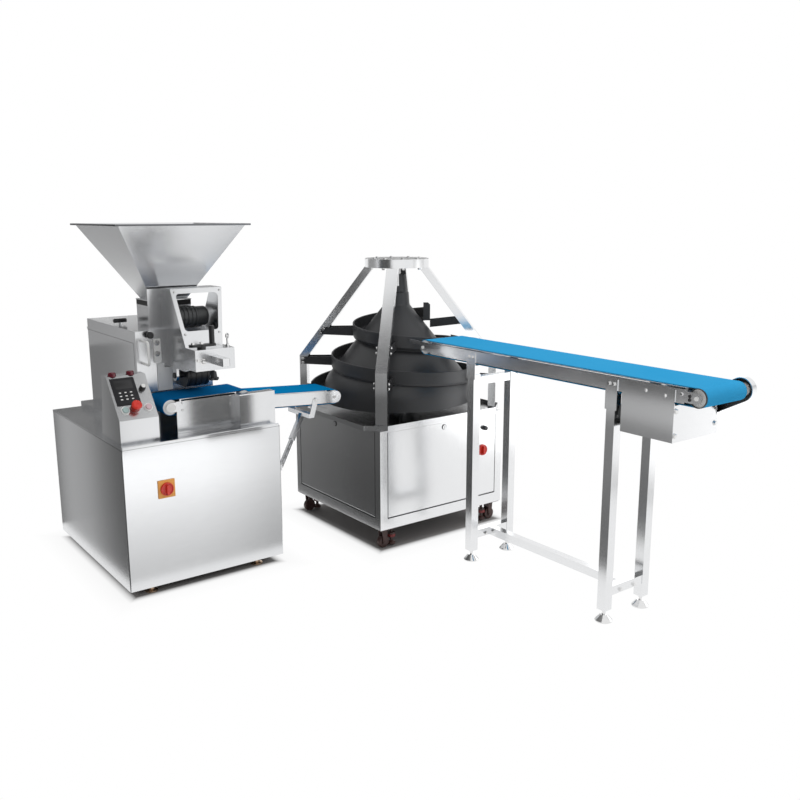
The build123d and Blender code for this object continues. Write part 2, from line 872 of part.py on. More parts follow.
def ram_chamber():
    """Duct under the throat and the barrel whose nose hugs the drum."""
    duct_floor = barrel_top
    duct_top = housing_top_height - heavy_sheet
    wall = ram_barrel_wall
    body = slab(throat_x0 - wall, throat_x1 + wall, throat_y0 - wall, throat_y1 + wall, duct_floor, duct_top)
    body -= throat_passage(duct_floor, duct_top)
    body += slab(throat_x0 - wall, drum_left, throat_y0 - wall, throat_y1 + wall, duct_floor - wall, duct_floor)
    nose_y = housing_front - ram_nose_reach
    barrel = slab(drum_left, drum_right, nose_y, nose_y + ram_barrel_length, barrel_bottom, barrel_top)
    body += barrel
    body -= slab(drum_left + wall, drum_right - wall, nose_y, nose_y + ram_barrel_length,
                 barrel_bottom + wall, barrel_top - wall)
    body -= slab(drum_left + wall, min(throat_x1, drum_right - wall), throat_y0, throat_y1,
                 barrel_top - wall, barrel_top)
    hug = drum_radius + drum_nose_clearance
    return body - rod((drum_left - wall, drum_y, drum_z), (drum_right + wall, drum_y, drum_z), hug)


def dough_ram():
    """Ram that pushes the dough into the drum's pockets, at the back of its stroke."""
    inset = ram_barrel_wall + slide_clearance
    front = throat_y1 + ram_rest_gap
    ram = slab(drum_left + inset, drum_right - inset, front, front + ram_length,
               barrel_bottom + inset, barrel_top - inset)
    middle_x = (drum_left + drum_right) / 2
    middle_z = (barrel_bottom + barrel_top) / 2
    back = front + ram_length
    return ram + rod((middle_x, back, middle_z), (middle_x, back + ram_rod_length, middle_z),
                     ram_rod_radius)


def head_yoke():
    """Two tapered cheeks on the wall, joined by the front beam, with lugs for the drum shaft."""
    cheek = [
        (housing_front, yoke_top), (housing_front, cheek_bottom), (cheek_taper_start, cheek_bottom),
        (beam_lip_depth, beam_bottom), (head_front, beam_bottom), (head_front, yoke_top),
    ]
    inner_left = head_left + cheek_thickness
    inner_right = head_right - cheek_thickness
    body = slab(head_left, head_right, head_front, head_front + beam_plate, beam_bottom, yoke_top)
    body += slab(head_left, head_right, head_front, head_front + beam_depth, yoke_top - beam_plate, yoke_top)
    body += slab(head_left, head_right, head_front, head_front + beam_lip_depth,
                 beam_bottom, beam_bottom + beam_plate)
    lug_z = cheek_bottom + drum_lug_radius
    for x0, x1 in ((head_left, inner_left), (inner_right, head_right)):
        body += along_x(cheek, x0, x1)
        body += rod((x0, drum_y, drum_z), (x1, drum_y, drum_z), drum_lug_radius)
        body += slab(x0, x1, drum_y - drum_lug_radius, drum_y + drum_lug_radius, drum_z, lug_z)
    bore = drum_shaft_radius + running_clearance
    body -= rod((head_left - cut_overshoot, drum_y, drum_z), (head_right + cut_overshoot, drum_y, drum_z), bore)
    bar_half = weight_bar_size / 2 + slide_clearance
    body -= slab(weight_bar_x - bar_half, weight_bar_x + bar_half, head_front, head_front + beam_plate,
                 weight_bar_z - bar_half, weight_bar_z + bar_half)
    screw = crank_screw_radius + running_clearance
    body -= rod((weight_crank_x, weight_crank_y, yoke_top - beam_plate - cut_overshoot),
                (weight_crank_x, weight_crank_y, yoke_top + cut_overshoot), screw)
    clamp = star_screw_radius + running_clearance
    body -= rod((weight_bar_x, star_knob_y, beam_bottom - cut_overshoot),
                (weight_bar_x, star_knob_y, beam_bottom + beam_plate + cut_overshoot), clamp)
    return body


def dividing_drum():
    """Grooved drum with measuring pockets on its back, fixed on its shaft."""
    body = rod((drum_left, drum_y, drum_z), (drum_right, drum_y, drum_z), drum_radius)
    pitch = (drum_right - drum_left) / drum_groove_count
    for index in range(drum_groove_count):
        x = drum_left + (index + 0.5) * pitch
        ring = rod((x - drum_groove_width / 2, drum_y, drum_z), (x + drum_groove_width / 2, drum_y, drum_z),
                   drum_radius + cut_overshoot)
        ring -= rod((x - drum_groove_width, drum_y, drum_z), (x + drum_groove_width, drum_y, drum_z),
                    drum_radius - drum_groove_depth)
        body -= ring
    middle = (drum_left + drum_right) / 2
    for x in (middle - drum_pocket_pitch / 2, middle + drum_pocket_pitch / 2):
        back = drum_y + drum_radius
        body -= rod((x, back - drum_pocket_depth, drum_z), (x, back + cut_overshoot, drum_z),
                    drum_pocket_radius)
    end = journal_stand_out
    return body + rod((head_left - end, drum_y, drum_z), (head_right + end, drum_y, drum_z), drum_shaft_radius)


guard_top = yoke_top + guard_height


def guard_form(inset):
    """Guard envelope: tilted front, flat top and a right side that leans outwards."""
    lean = guard_top_front - beam_depth
    tilt = math.hypot(lean, guard_height) / guard_height
    front_low = beam_depth + inset * tilt
    front_high = guard_top_front + inset * tilt - inset * lean / guard_height
    side = [
        (guard_back, housing_top_height), (guard_back, guard_top - inset), (front_high, guard_top - inset),
        (front_low, yoke_top), (housing_front, yoke_top), (housing_front, housing_top_height),
    ]
    spread = guard_top_width - guard_bottom_width
    skew = inset * math.hypot(spread, guard_height) / guard_height
    front = [
        (head_left + inset, yoke_top), (head_left + guard_bottom_width - skew, yoke_top),
        (head_left + guard_top_width - skew, guard_top), (head_left + inset, guard_top),
    ]
    reach = head_left + guard_top_width
    return along_x(side, head_left, reach) & along_y(front, head_front, guard_back)


def head_guard():
    """Sheet guard over the head, open behind and below, with a rounded window and a side wing."""
    body = guard_form(0) - guard_form(sheet)
    body += slab(head_left - guard_wing_width, head_left + sheet, guard_back - sheet, guard_back,
                 housing_top_height, guard_top - sheet)
    spread = (guard_top_width - guard_bottom_width) / guard_height
    low = yoke_top + window_margin_bottom
    high = guard_top - window_margin_top
    left = head_left + window_margin_side
    right = head_left + guard_bottom_width - window_margin_side
    pane = Polyline((left, low), (right + spread * window_margin_bottom, low),
                    (right + spread * (high - yoke_top), high), (left, high), close=True)
    pane = fillet(make_face(pane).vertices(), window_corner_radius)
    cut = extrude(Plane.XZ.offset(-head_front) * pane, -guard_top_front - beam_depth)
    return body - cut


def weight_crank():
    """Double-ended crank with an upright grip, on a vertical screw."""
    hub_top = yoke_top + slide_clearance + crank_hub_height
    axis = (weight_crank_x, weight_crank_y)
    body = rod((*axis, yoke_top + slide_clearance), (*axis, hub_top), crank_hub_radius)
    body += rod((*axis, yoke_top - crank_screw_length), (*axis, hub_top), crank_screw_radius)
    middle = weight_crank_x + (crank_arm_length - crank_tail_length) / 2
    length = crank_arm_length + crank_tail_length
    arm = Pos(middle, weight_crank_y) * SlotCenterToCenter(length, crank_arm_width)
    body += extrude(Plane.XY.offset(hub_top - crank_hub_height / 2) * arm, crank_hub_height / 2)
    grip = (weight_crank_x + crank_arm_length, weight_crank_y)
    handle = rod((*grip, hub_top), (*grip, hub_top + crank_grip_height), crank_grip_radius)
    return body + fillet(handle.edges().group_by(Axis.Z)[-1], crank_grip_radius / 3)


def weight_bar():
    """Square bar through the front beam."""
    half = weight_bar_size / 2
    bar = slab(weight_bar_x - half, weight_bar_x + half, head_front - weight_bar_stand_out,
               head_front + weight_bar_inside, weight_bar_z - half, weight_bar_z + half)
    return chamfer(bar.edges().group_by(Axis.Y)[0], heavy_sheet / 2)


def star_knob():
    """Lobed clamp knob with a tapered hub under the beam, its screw ending below the weight bar."""
    knob = Cylinder(star_knob_radius * 0.72, star_knob_height)
    for index in range(star_knob_lobes):
        lobe = Pos(star_knob_radius * 0.66, 0, 0) * Cylinder(star_knob_radius * 0.34, star_knob_height)
        knob += Rot(0, 0, index * 360 / star_knob_lobes) * lobe
    hub_low = star_knob_height / 2
    knob += turned([(0, 0), (star_hub_radius * 1.3, 0), (star_hub_radius * 1.3, hub_low),
                    (star_hub_radius, hub_low + star_hub_height), (0, hub_low + star_hub_height)])
    tip = weight_bar_z - weight_bar_size / 2 - slide_clearance
    screw = rod((0, 0, 0), (0, 0, tip - star_knob_z), star_screw_radius)
    return Pos(weight_bar_x, star_knob_y, star_knob_z) * (knob + screw)


def wall_fittings():
    """Notched drum guard plate, two-bolt plate and bow handle on the front wall."""
    right = guard_plate_left + guard_plate_width
    top = guard_plate_bottom + guard_plate_height
    step = guard_plate_left + guard_plate_width - guard_plate_step_width
    notched = [
        (guard_plate_left, guard_plate_bottom), (right, guard_plate_bottom),
        (right, top - guard_plate_step_height), (step, top - guard_plate_step_height), (step, top),
        (guard_plate_left, top),
    ]
    plate = along_y(notched, housing_front - guard_plate_thickness, housing_front)
    bolted = slab(bolt_plate_left, bolt_plate_left + bolt_plate_width, housing_front - bolt_plate_thickness,
                  housing_front, bolt_plate_bottom, bolt_plate_bottom + bolt_plate_height)
    bolted = fillet(bolted.edges().group_by(Axis.Y)[0], sheet)
    out = housing_front - bow_handle_stand_off
    low = bow_handle_bottom
    high = bow_handle_bottom + bow_handle_height
    route = FilletPolyline((bow_handle_x, housing_front, low), (bow_handle_x, out, low),
                           (bow_handle_x, out, high), (bow_handle_x, housing_front, high),
                           radius=2 * bow_handle_radius)
    section = Plane(origin=route @ 0, z_dir=route % 0) * Circle(bow_handle_radius)
    return [plate, bolted, sweep(section, path=route)]


def clamp_knob():
    """Round knob on a spindle through the front wall."""
    face = housing_front - clamp_stand_out
    knob = rod((clamp_x, face - clamp_knob_length, clamp_z), (clamp_x, face, clamp_z), clamp_knob_radius)
    knob = chamfer(knob.edges().filter_by(GeomType.CIRCLE), clamp_knob_radius / 6)
    inside = housing_front + clamp_spindle_inside
    return knob + rod((clamp_x, face, clamp_z), (clamp_x, inside, clamp_z), clamp_spindle_radius)


def finned_motor(radius, length):
    """Motor barrel along +X with ring fins."""
    barrel = rod((0, 0, 0), (length, 0, 0), radius - motor_fin_depth)
    pitch = length / motor_fin_count
    for index in range(motor_fin_count):
        start = (index + 0.5) * pitch - motor_fin_width / 2
        barrel += rod((start, 0, 0), (start + motor_fin_width, 0, 0), radius)
    return barrel


def head_gear_motor():
    """Finned gear motor with a round end that stands on the housing behind the window."""
    start = head_left + head_motor_side_gap
    barrel_end = start + head_motor_length
    end = barrel_end + head_gearbox_length
    motor = Pos(start, head_motor_y, head_motor_z) * finned_motor(head_motor_radius, head_motor_length)
    dome = rod((barrel_end, head_motor_y, head_motor_z), (end, head_motor_y, head_motor_z), head_gearbox_radius)
    motor += fillet(dome.edges().filter_by(GeomType.CIRCLE).sort_by(Axis.X)[-1], head_gearbox_round)
    foot_y = housing_front + sheet
    foot_end = end - head_gearbox_round
    foot = slab(start + motor_fin_width, foot_end, foot_y, foot_y + head_motor_foot_width / 2,
                housing_top_height, head_motor_z)
    foot += slab(start, foot_end, foot_y, foot_y + head_motor_foot_width,
                 housing_top_height, housing_top_height + beam_plate)
    return motor + foot


# The divider's two belts
def discharge_frame():
    """Folded side plates on the deck, with noses for the rollers, a tail plate and the bed."""
    floor = divider_deck_height - discharge_roller_z
    left = discharge_panel_left - discharge_tail_x
    right = discharge_panel_right - discharge_tail_x
    tail_right = drive_cover_left + drive_cover_width - discharge_tail_x
    tail_top = floor + discharge_tail_plate_rise
    top = discharge_panel_top
    panel = [
        (left, floor), (tail_right, floor), (tail_right, tail_top), (right, tail_top),
        (right, top), (left, top),
    ]
    outer = discharge_plate_inner + sheet
    ledge = floor + panel_ledge_rise
    body = conveyor_bed(discharge_length, discharge_plate_inner)
    for y0, y1 in both_sides(discharge_plate_inner, outer):
        body += rail_plate(0, discharge_length, discharge_nose_height, y0, y1)
        body += along_y(panel, y0, y1)
    for y0, y1 in both_sides(outer - panel_flange_width, outer):
        body += slab(left, right, y0, y1, top - sheet, top)
    body += slab(left, right, -outer - panel_ledge_width, -outer, ledge, ledge + sheet)
    return discharge_place * (body - journal_bores(discharge_length, discharge_plate_inner))


def transfer_frame():
    """Two round-ended rails and the bed, bolted inside the discharge frame's tail plates."""
    outer = transfer_plate_inner + sheet
    body = conveyor_bed(transfer_length, transfer_plate_inner)
    past = transfer_nose_overhang
    for y0, y1 in both_sides(transfer_plate_inner, outer):
        body += rail_plate(-past, transfer_length + past, transfer_rail_height, y0, y1)
    return transfer_place * (body - journal_bores(transfer_length, transfer_plate_inner))


discharge_near_face = belt_line_y - discharge_plate_inner - sheet
sprocket_plane = drive_cover_front + sprocket_inset


def near_drive_reach(plate_outer):
    """How far a driven journal runs past its plate, into the drive cover."""
    return belt_line_y - plate_outer - journal_stand_out - sprocket_plane


def driven_roller(plate_outer):
    """Roller whose journal and sprocket reach towards -Y, into the drive cover."""
    reach = near_drive_reach(plate_outer)
    roller = belt_roller(short_belt_half_width, plate_outer, reach, short_sprocket_radius)
    return Rot(0, 0, 180) * roller


def drive_cover():
    """Sheet cover over the belt drive, open towards the side plate."""
    right = drive_cover_left + drive_cover_width
    top = divider_deck_height + drive_cover_height
    body = slab(drive_cover_left, right, drive_cover_front, discharge_near_face, divider_deck_height, top)
    body = fillet(body.edges().filter_by(Axis.X).group_by(Axis.Z)[-1].sort_by(Axis.Y)[0], heavy_sheet)
    return body - slab(drive_cover_left + sheet, right - sheet, drive_cover_front + sheet, discharge_near_face,
                       divider_deck_height, top - sheet)


def hanger(y0, y1):
    """Flat strap from a transfer rail down to the cross bar."""
    half = hanger_width / 2
    low = cross_bar_z - cross_bar_height / 2
    outline = [
        (cross_bar_x - half, low), (cross_bar_x + half, low),
        (hanger_top_x + half, hanger_top_z), (hanger_top_x - half, hanger_top_z),
    ]
    return along_y(outline, y0, y1)


def transfer_brace():
    """Hangers, cross bar and the telescopic brace down to the cabinet's side."""
    outer = transfer_plate_inner + sheet
    near = belt_line_y - outer
    far = belt_line_y + outer
    half = hanger_width / 2
    body = hanger(near - hanger_thickness, near) + hanger(far, far + hanger_thickness)
    body += slab(cross_bar_x - half, cross_bar_x + half, near - hanger_thickness, far + hanger_thickness,
                 cross_bar_z - cross_bar_height / 2, cross_bar_z + cross_bar_height / 2)
    top = Vector(cross_bar_x, brace_top_y, cross_bar_z)
    foot = Vector(divider_width + brace_foot_stand_off, brace_foot_y, brace_foot_z)
    reach = foot - top
    seat = Plane(origin=top, z_dir=reach)
    tube = Rectangle(brace_tube_size, brace_tube_size)
    bar_size = brace_tube_size - 2 * brace_tube_wall
    body += extrude(seat * tube, brace_tube_share_length)
    bar = extrude(seat * Rectangle(bar_size, brace_bar_width), reach.length)
    pitch = (reach.length - brace_tube_share_length) / (brace_slot_count + 1)
    slot_length = pitch - brace_slot_bridge
    slot = extrude(SlotOverall(slot_length, brace_slot_width, rotation=90), brace_tube_size, both=True)
    for index in range(brace_slot_count):
        along = brace_tube_share_length + (index + 1) * pitch
        bar -= seat * Pos(0, 0, along) * Rot(90, 0, 0) * slot
    body += bar
    ear = slab(divider_width, divider_width + brace_foot_stand_off, brace_foot_y - half, brace_foot_y + half,
               brace_foot_z - half, brace_foot_z + half)
    return body + ear


# Rounder
rounder_left = rounder_x - rounder_half
rounder_front = rounder_y - rounder_half
door_low = rounder_caster_height + door_margin_bottom
door_high = rounder_top_height - door_margin_top
door_half = rounder_half - door_margin_side


def door_pin(end):
    """Hinge pins at both lower ends of a door."""
    z = door_low + door_gap + door_roll_radius
    pin = rod((door_half - sheet, door_roll_radius, z), (end, door_roll_radius, z), door_pin_radius)
    return pin + mirror(pin, Plane.YZ)


def door_seat():
    """Sill under a door and the two bored ears that hold its pins."""
    ear_high = door_low + 2 * door_roll_radius + sheet
    seat = slab(-door_half, door_half, sheet, door_depth, door_low - sheet, door_low)
    for x0, x1 in both_sides(door_half, door_half + door_ear_thickness):
        seat += slab(x0, x1, sheet, door_depth, door_low - sheet, ear_high)
    z = door_low + door_gap + door_roll_radius
    end = door_half + door_ear_thickness + cut_overshoot
    bore = door_pin_radius + running_clearance
    return seat - rod((-end, door_roll_radius, z), (end, door_roll_radius, z), bore)


def rounder_cabinet():
    """Square cabinet with a bottom pan, a thick top plate and two door openings."""
    inner = rounder_half - sheet
    body = Pos(rounder_x, rounder_y, 0) * slab(-rounder_half, rounder_half, -rounder_half, rounder_half,
                                               rounder_caster_height, rounder_top_height)
    body -= Pos(rounder_x, rounder_y, 0) * slab(-inner, inner, -inner, inner, rounder_caster_height + sheet,
                                                rounder_top_height - rounder_top_plate)
    body -= slab(rounder_x - door_half, rounder_x + door_half, rounder_front, rounder_front + sheet,
                 door_low, door_high)
    body -= slab(rounder_left, rounder_left + sheet, rounder_y - door_half, rounder_y + door_half,
                 door_low, door_high)
    seat = door_seat()
    body += Pos(rounder_x, rounder_front, 0) * seat
    body += Pos(rounder_left, rounder_y, 0) * Rot(0, 0, -90) * seat
    shaft_bore = cone_shaft_radius + running_clearance
    return body - rod((rounder_x, rounder_y, door_high), (rounder_x, rounder_y, rounder_top_height), shaft_bore)


def access_door(holes):
    """Folded door with a quarter turn lock and a rolled lower edge that turns about its pins.

    Its outer face lies on y = 0 and its middle on x = 0.
    """
    half = door_half - door_gap
    low = door_low + door_gap
    high = door_high - door_gap
    door = slab(-half, half, 0, door_depth, low, high)
    door = fillet(door.edges().filter_by(Axis.X).group_by(Axis.Z)[0].sort_by(Axis.Y)[0], door_roll_radius)
    door -= slab(-half + sheet, half - sheet, sheet, door_depth, low + sheet, high - sheet)
    lock_z = high - lock_drop
    door += rod((0, -lock_stand_out, lock_z), (0, sheet, lock_z), lock_radius)
    door -= slab(-lock_radius / 6, lock_radius / 6, -lock_stand_out, -lock_stand_out / 2,
                 lock_z - lock_radius / 2, lock_z + lock_radius / 2)
    for x, z, radius in holes:
        door -= rod((x, -cut_overshoot, z), (x, sheet + cut_overshoot, z), radius + running_clearance)
    return door + door_pin(door_half + door_ear_thickness)


def front_door():
    """Front door, which also carries the rounder's switch and speed knob."""
    holes = [
        (rounder_switch_x, rounder_switch_z, switch_shaft_radius),
        (rounder_knob_x, rounder_knob_z, rounder_knob_shaft_radius),
    ]
    return Pos(rounder_x, rounder_front, 0) * access_door(holes)


def side_door():
    """Door on the side that faces the divider."""
    return Pos(rounder_left, rounder_y, 0) * Rot(0, 0, -90) * access_door([])


def rounder_switch_knob():
    """Rotary switch on the front door."""
    seat = facing_front(rounder_x + rounder_switch_x, rounder_front - slide_clearance, rounder_switch_z)
    return seat * rotary_knob(sheet + slide_clearance)


def rounder_speed_knob():
    """Small dial knob on the front door."""
    shaft = sheet + slide_clearance
    knob = turned([
        (0, -shaft), (rounder_knob_shaft_radius, -shaft), (rounder_knob_shaft_radius, 0),
        (rounder_knob_radius, 0), (rounder_knob_radius, rounder_knob_height / 2),
        (rounder_knob_radius * 0.8, rounder_knob_height), (0, rounder_knob_height),
    ])
    return facing_front(rounder_x + rounder_knob_x, rounder_front - slide_clearance, rounder_knob_z) * knob


def caster_places():
    """Caster positions, each with the turn that points its levelling screw inwards."""
    reach = rounder_half - caster_inset
    return [(rounder_x + sx * reach, rounder_y + sy * reach, sx) for sx in (-1, 1) for sy in (-1, 1)]


def caster_bracket():
    """Top plate, two cheeks and the levelling pad with its thumb wheel, beside the wheel."""
    plate_low = rounder_caster_height - caster_plate_thickness
    half = caster_plate_size / 2
    inner = caster_wheel_width / 2 + caster_side_gap
    cheek_low = caster_wheel_radius - 2 * caster_axle_radius
    body = slab(-half, half + levelling_offset / 2, -half, half, plate_low, rounder_caster_height)
    cheek = [
        (-caster_cheek_width / 2, plate_low), (-2 * caster_axle_radius, cheek_low),
        (2 * caster_axle_radius, cheek_low), (caster_cheek_width / 2, plate_low),
    ]
    for y0 in (-inner - caster_cheek_thickness, inner):
        body += along_y(cheek, y0, y0 + caster_cheek_thickness)
    bore = caster_axle_radius + running_clearance
    body -= rod((0, -half, caster_wheel_radius), (0, half, caster_wheel_radius), bore)
    body += Pos(levelling_offset, 0, 0) * turned([
        (0, levelling_pad_clearance), (levelling_pad_radius, levelling_pad_clearance),
        (levelling_pad_radius, levelling_pad_clearance + levelling_pad_thickness),
        (levelling_screw_radius, levelling_pad_clearance + 2 * levelling_pad_thickness),
        (levelling_screw_radius, thumb_wheel_z), (thumb_wheel_radius, thumb_wheel_z),
        (thumb_wheel_radius, thumb_wheel_z + thumb_wheel_height),
        (levelling_screw_radius, thumb_wheel_z + thumb_wheel_height), (levelling_screw_radius, plate_low),
        (0, plate_low),
    ])
    return body


def caster_brackets():
    """The four caster brackets, mirrored so that each pad stands inside its wheel."""
    bracket = caster_bracket()
    turned_round = Rot(0, 0, 180) * bracket
    return [Pos(x, y, 0) * (turned_round if sx > 0 else bracket) for x, y, sx in caster_places()]


def caster_wheel(place):
    """One wheel with its axle."""
    x, y, _ = place
    half = caster_wheel_width / 2
    end = half + caster_side_gap + caster_cheek_thickness + cut_overshoot
    wheel = rod((0, -half, 0), (0, half, 0), caster_wheel_radius)
    wheel = chamfer(wheel.edges().filter_by(GeomType.CIRCLE), caster_wheel_width / 8)
    wheel += rod((0, -end, 0), (0, end, 0), caster_axle_radius)
    return Pos(x, y, caster_wheel_radius) * wheel


def tray_outline(inset):
    """Rectangle with cut corners, drawn in by an inset."""
    side_x = tray_half_x - inset
    side_y = tray_half_y - inset
    slant = math.hypot(tray_cut_x, tray_cut_y)
    across_x = tray_cut_y / slant
    across_y = tray_cut_x / slant
    reach = across_x * (tray_half_x - tray_cut_x) + across_y * tray_half_y - inset
    flat_x = (reach - across_y * side_y) / across_x
    flat_y = (reach - across_x * side_x) / across_y
    return [
        (side_x, -flat_y), (side_x, flat_y), (flat_x, side_y), (-flat_x, side_y),
        (-side_x, flat_y), (-side_x, -flat_y), (-flat_x, -side_y), (flat_x, -side_y),
    ]


def rounder_tray():
    """Tray with an upright rim and the cone's lower bearing."""
    tray = along_z(tray_outline(0), rounder_top_height, rounder_top_height + tray_height)
    tray -= along_z(tray_outline(sheet), tray_floor, rounder_top_height + tray_height)
    tray += turned([
        (0, tray_floor), (bearing_radius, tray_floor), (bearing_radius, tray_floor + bearing_height / 3),
        (bearing_radius * 0.7, tray_floor + bearing_height), (0, tray_floor + bearing_height),
    ])
    bore = cone_shaft_radius + running_clearance
    tray -= rod((0, 0, rounder_top_height), (0, 0, tray_floor + bearing_height), bore)
    return Pos(rounder_x, rounder_y, 0) * tray


post_slope = (post_foot_radius - post_top_radius) / (ring_bottom - post_bend_height)
post_tilt = math.atan(post_slope)


def bent_post():
    """One post in the plane y = 0: upright, then leaning in to the ring."""
    past_ring = 2 * post_radial_size
    path = Polyline((post_foot_radius, 0, tray_floor), (post_foot_radius, 0, post_bend_height),
                    (post_top_radius - past_ring * post_slope, 0, ring_bottom + past_ring))
    foot = Plane(origin=(post_foot_radius, 0, tray_floor))
    outer = foot * Rectangle(post_radial_size, post_tangent_size)
    inner = foot * Rectangle(post_radial_size - 2 * post_wall, post_tangent_size - 2 * post_wall)
    post = sweep(outer, path=path, transition=Transition.RIGHT)
    post -= sweep(inner, path=path, transition=Transition.RIGHT)
    post = split(post, bisect_by=Plane.XY.offset(ring_bottom), keep=Keep.BOTTOM)
    base = slab(post_foot_radius - post_base_inside, post_foot_radius + post_base_outside,
                -post_base_tangent / 2, post_base_tangent / 2, tray_floor, tray_floor + post_base_thickness)
    hollow = slab(post_foot_radius - post_radial_size / 2, post_foot_radius + post_radial_size / 2,
                  -post_tangent_size / 2, post_tangent_size / 2, tray_floor, tray_floor + post_base_thickness)
    return post + (base - hollow)


def corner_posts():
    """Four posts on the tray's diagonals."""
    post = bent_post()
    return [Pos(rounder_x, rounder_y, 0) * Rot(0, 0, 45 + 90 * turn) * post for turn in range(4)]


def top_ring():
    """Dished ring that joins the posts and carries the upper bearing."""
    top = ring_bottom + ring_height
    bore = cone_shaft_radius + running_clearance
    inner = ring_radius - ring_wall
    under = top - ring_top_plate
    ring = turned([
        (bore, top - ring_hub_depth), (ring_hub_radius, top - ring_hub_depth), (ring_hub_radius, under),
        (inner, under), (inner, ring_bottom + ring_wall), (ring_flange_inner_radius, ring_bottom + ring_wall),
        (ring_flange_inner_radius, ring_bottom), (ring_radius, ring_bottom), (ring_radius, top), (bore, top),
    ])
    return Pos(rounder_x, rounder_y, 0) * ring


blend_angle = math.radians(cone_half_angle)
cone_corner_height = cone_top_height - (skirt_radius - cone_top_radius) / math.tan(blend_angle)
blend_low_height = cone_corner_height - skirt_blend_radius * math.tan(blend_angle / 2)
blend_top_height = blend_low_height + skirt_blend_radius * math.sin(blend_angle)


def blend_radius(height):
    """Radius of the rounding between the cone and its skirt at a height."""
    rise = height - blend_low_height
    return skirt_radius - skirt_blend_radius + math.sqrt(skirt_blend_radius ** 2 - rise ** 2)


def cone_radius(height):
    """Radius of the cone's outside at a height."""
    if height >= blend_top_height:
        return cone_top_radius + (cone_top_height - height) * math.tan(blend_angle)
    if height >= blend_low_height:
        return blend_radius(height)
    return skirt_radius


def cone_side(inset):
    """Edges of the cone from its top down to the skirt's lower edge, drawn in by an inset."""
    middle = (blend_low_height + blend_top_height) / 2
    top = (cone_top_radius - inset, cone_top_height)
    upper = (blend_radius(blend_top_height) - inset, blend_top_height)
    between = (blend_radius(middle) - inset, middle)
    lower = (skirt_radius - inset, blend_low_height)
    foot = (skirt_radius - inset, skirt_bottom_height)
    return top, foot, [Line(top, upper), ThreePointArc(upper, between, lower), Line(lower, foot)]


def rounding_cone():
    """Hollow cone with a solid neck bored for its shaft."""
    bore = cone_shaft_radius + running_clearance
    top, foot, outside = cone_side(0)
    inner_top, inner_foot, inside = cone_side(cone_wall)
    neck = Polyline(
        (bore, neck_top_height), (neck_top_radius, neck_top_height), (neck_bottom_radius, neck_bottom_height),
        (collar_top_radius, collar_top_height), (collar_bottom_radius, collar_bottom_height), top,
    )
    core = Polyline(inner_top, (bore, cone_top_height), (bore, neck_top_height))
    outline = make_face([neck, *outside, Line(foot, inner_foot), *inside, core])
    return Pos(rounder_x, rounder_y, 0) * revolve(Plane.XZ * outline, Axis.Z)


cone_shaft_low = rounder_top_height - rounder_top_plate - cone_gearbox_height - cone_shaft_below


def cone_shaft():
    """Upright shaft from the gear box to the top ring."""
    top = ring_bottom + ring_height
    shaft = rod((rounder_x, rounder_y, cone_shaft_low), (rounder_x, rounder_y, top), cone_shaft_radius)
    return chamfer(shaft.edges().group_by(Axis.Z)[-1], sheet / 2)


def track_rim(turn):
    """Height of the track's rim after a number of turns from its top end."""
    return track_top_rim - track_turn_drop * turn


def track_radius(turn):
    """Outer radius of the track after a number of turns from its top end."""
    return track_top_radius + track_turn_growth * turn


def radial_plane(angle):
    """Upright plane through the cone's axis, its x pointing outwards."""
    return Plane(origin=(0, 0, 0), x_dir=(math.cos(angle), math.sin(angle), 0),
                 z_dir=(math.sin(angle), -math.cos(angle), 0))


def track_section(turn):
    """Upright wall that curves inwards to a lip beside the cone."""
    angle = math.radians(track_top_angle + 360 * turn)
    rim = track_rim(turn)
    floor = rim - track_wall_height
    outer = track_radius(turn)
    lip = cone_radius(floor) + track_floor_gap
    bend = track_floor_bend
    edge = track_rim_chamfer
    outline = [
        (outer - edge, rim), (outer, rim - edge), (outer, floor + bend), (outer - bend / 3, floor + bend / 4),
        (lip, floor), (lip, floor + track_wall), (outer - track_wall - bend / 4, floor + track_wall + bend / 4),
        (outer - track_wall, floor + track_wall + bend), (outer - track_wall, rim - edge),
        (outer - track_wall + edge, rim),
    ]
    return radial_plane(angle) * make_face(Polyline(*outline, close=True))


def track_cap():
    """Plate across the trough's top end, with its outer upper corner cut."""
    low = track_rim(0) - track_wall_height
    high = track_rim(0) + track_cap_rise
    inner = cone_radius(low) + track_floor_gap
    outer = track_radius(0)
    outline = [
        (inner, low), (outer, low), (outer, high - track_cap_corner), (outer - track_cap_corner, high),
        (inner, high),
    ]
    face = radial_plane(math.radians(track_top_angle)) * make_face(Polyline(*outline, close=True))
    return extrude(face, track_cap_thickness)


def spiral_track():
    """The rounding track: one capped trough that winds down and outwards around the cone."""
    count = round(track_turn_count * track_sections_per_turn)
    sections = [track_section(index / track_sections_per_turn) for index in range(count + 1)]
    return Pos(rounder_x, rounder_y, 0) * (loft(sections) + track_cap())


def post_inner_face(height):
    """Radius of a post's inner face at a height."""
    upright = post_foot_radius - post_radial_size / 2
    leaning = post_foot_radius - post_radial_size / 2 / math.cos(post_tilt)
    return min(upright, leaning - post_slope * (height - post_bend_height))


def wall_distance(turn, y):
    """Distance of the track's outside from the axis, measured along a line that passes the axis at y."""
    radius = track_radius(turn)
    radius = track_radius(turn + math.asin(y / radius) / (2 * math.pi))
    return math.sqrt(radius ** 2 - y ** 2)


def track_arm(turn, y0, y1):
    """Flat plate from the track's wall past one side of a post that stands in the plane y = 0."""
    middle = track_rim(turn) - arm_below_rim
    wall = max(wall_distance(turn, y0), wall_distance(turn, y1)) + arm_wall_gap
    post_low = middle - arm_post_half_height
    post_high = middle + arm_post_half_height
    outline = [
        (wall, middle - arm_wall_half_height), (post_inner_face(post_low) + arm_post_overlap, post_low),
        (post_inner_face(post_high) + arm_post_overlap, post_high), (wall, middle + arm_wall_half_height),
    ]
    return along_y(outline, y0, y1)


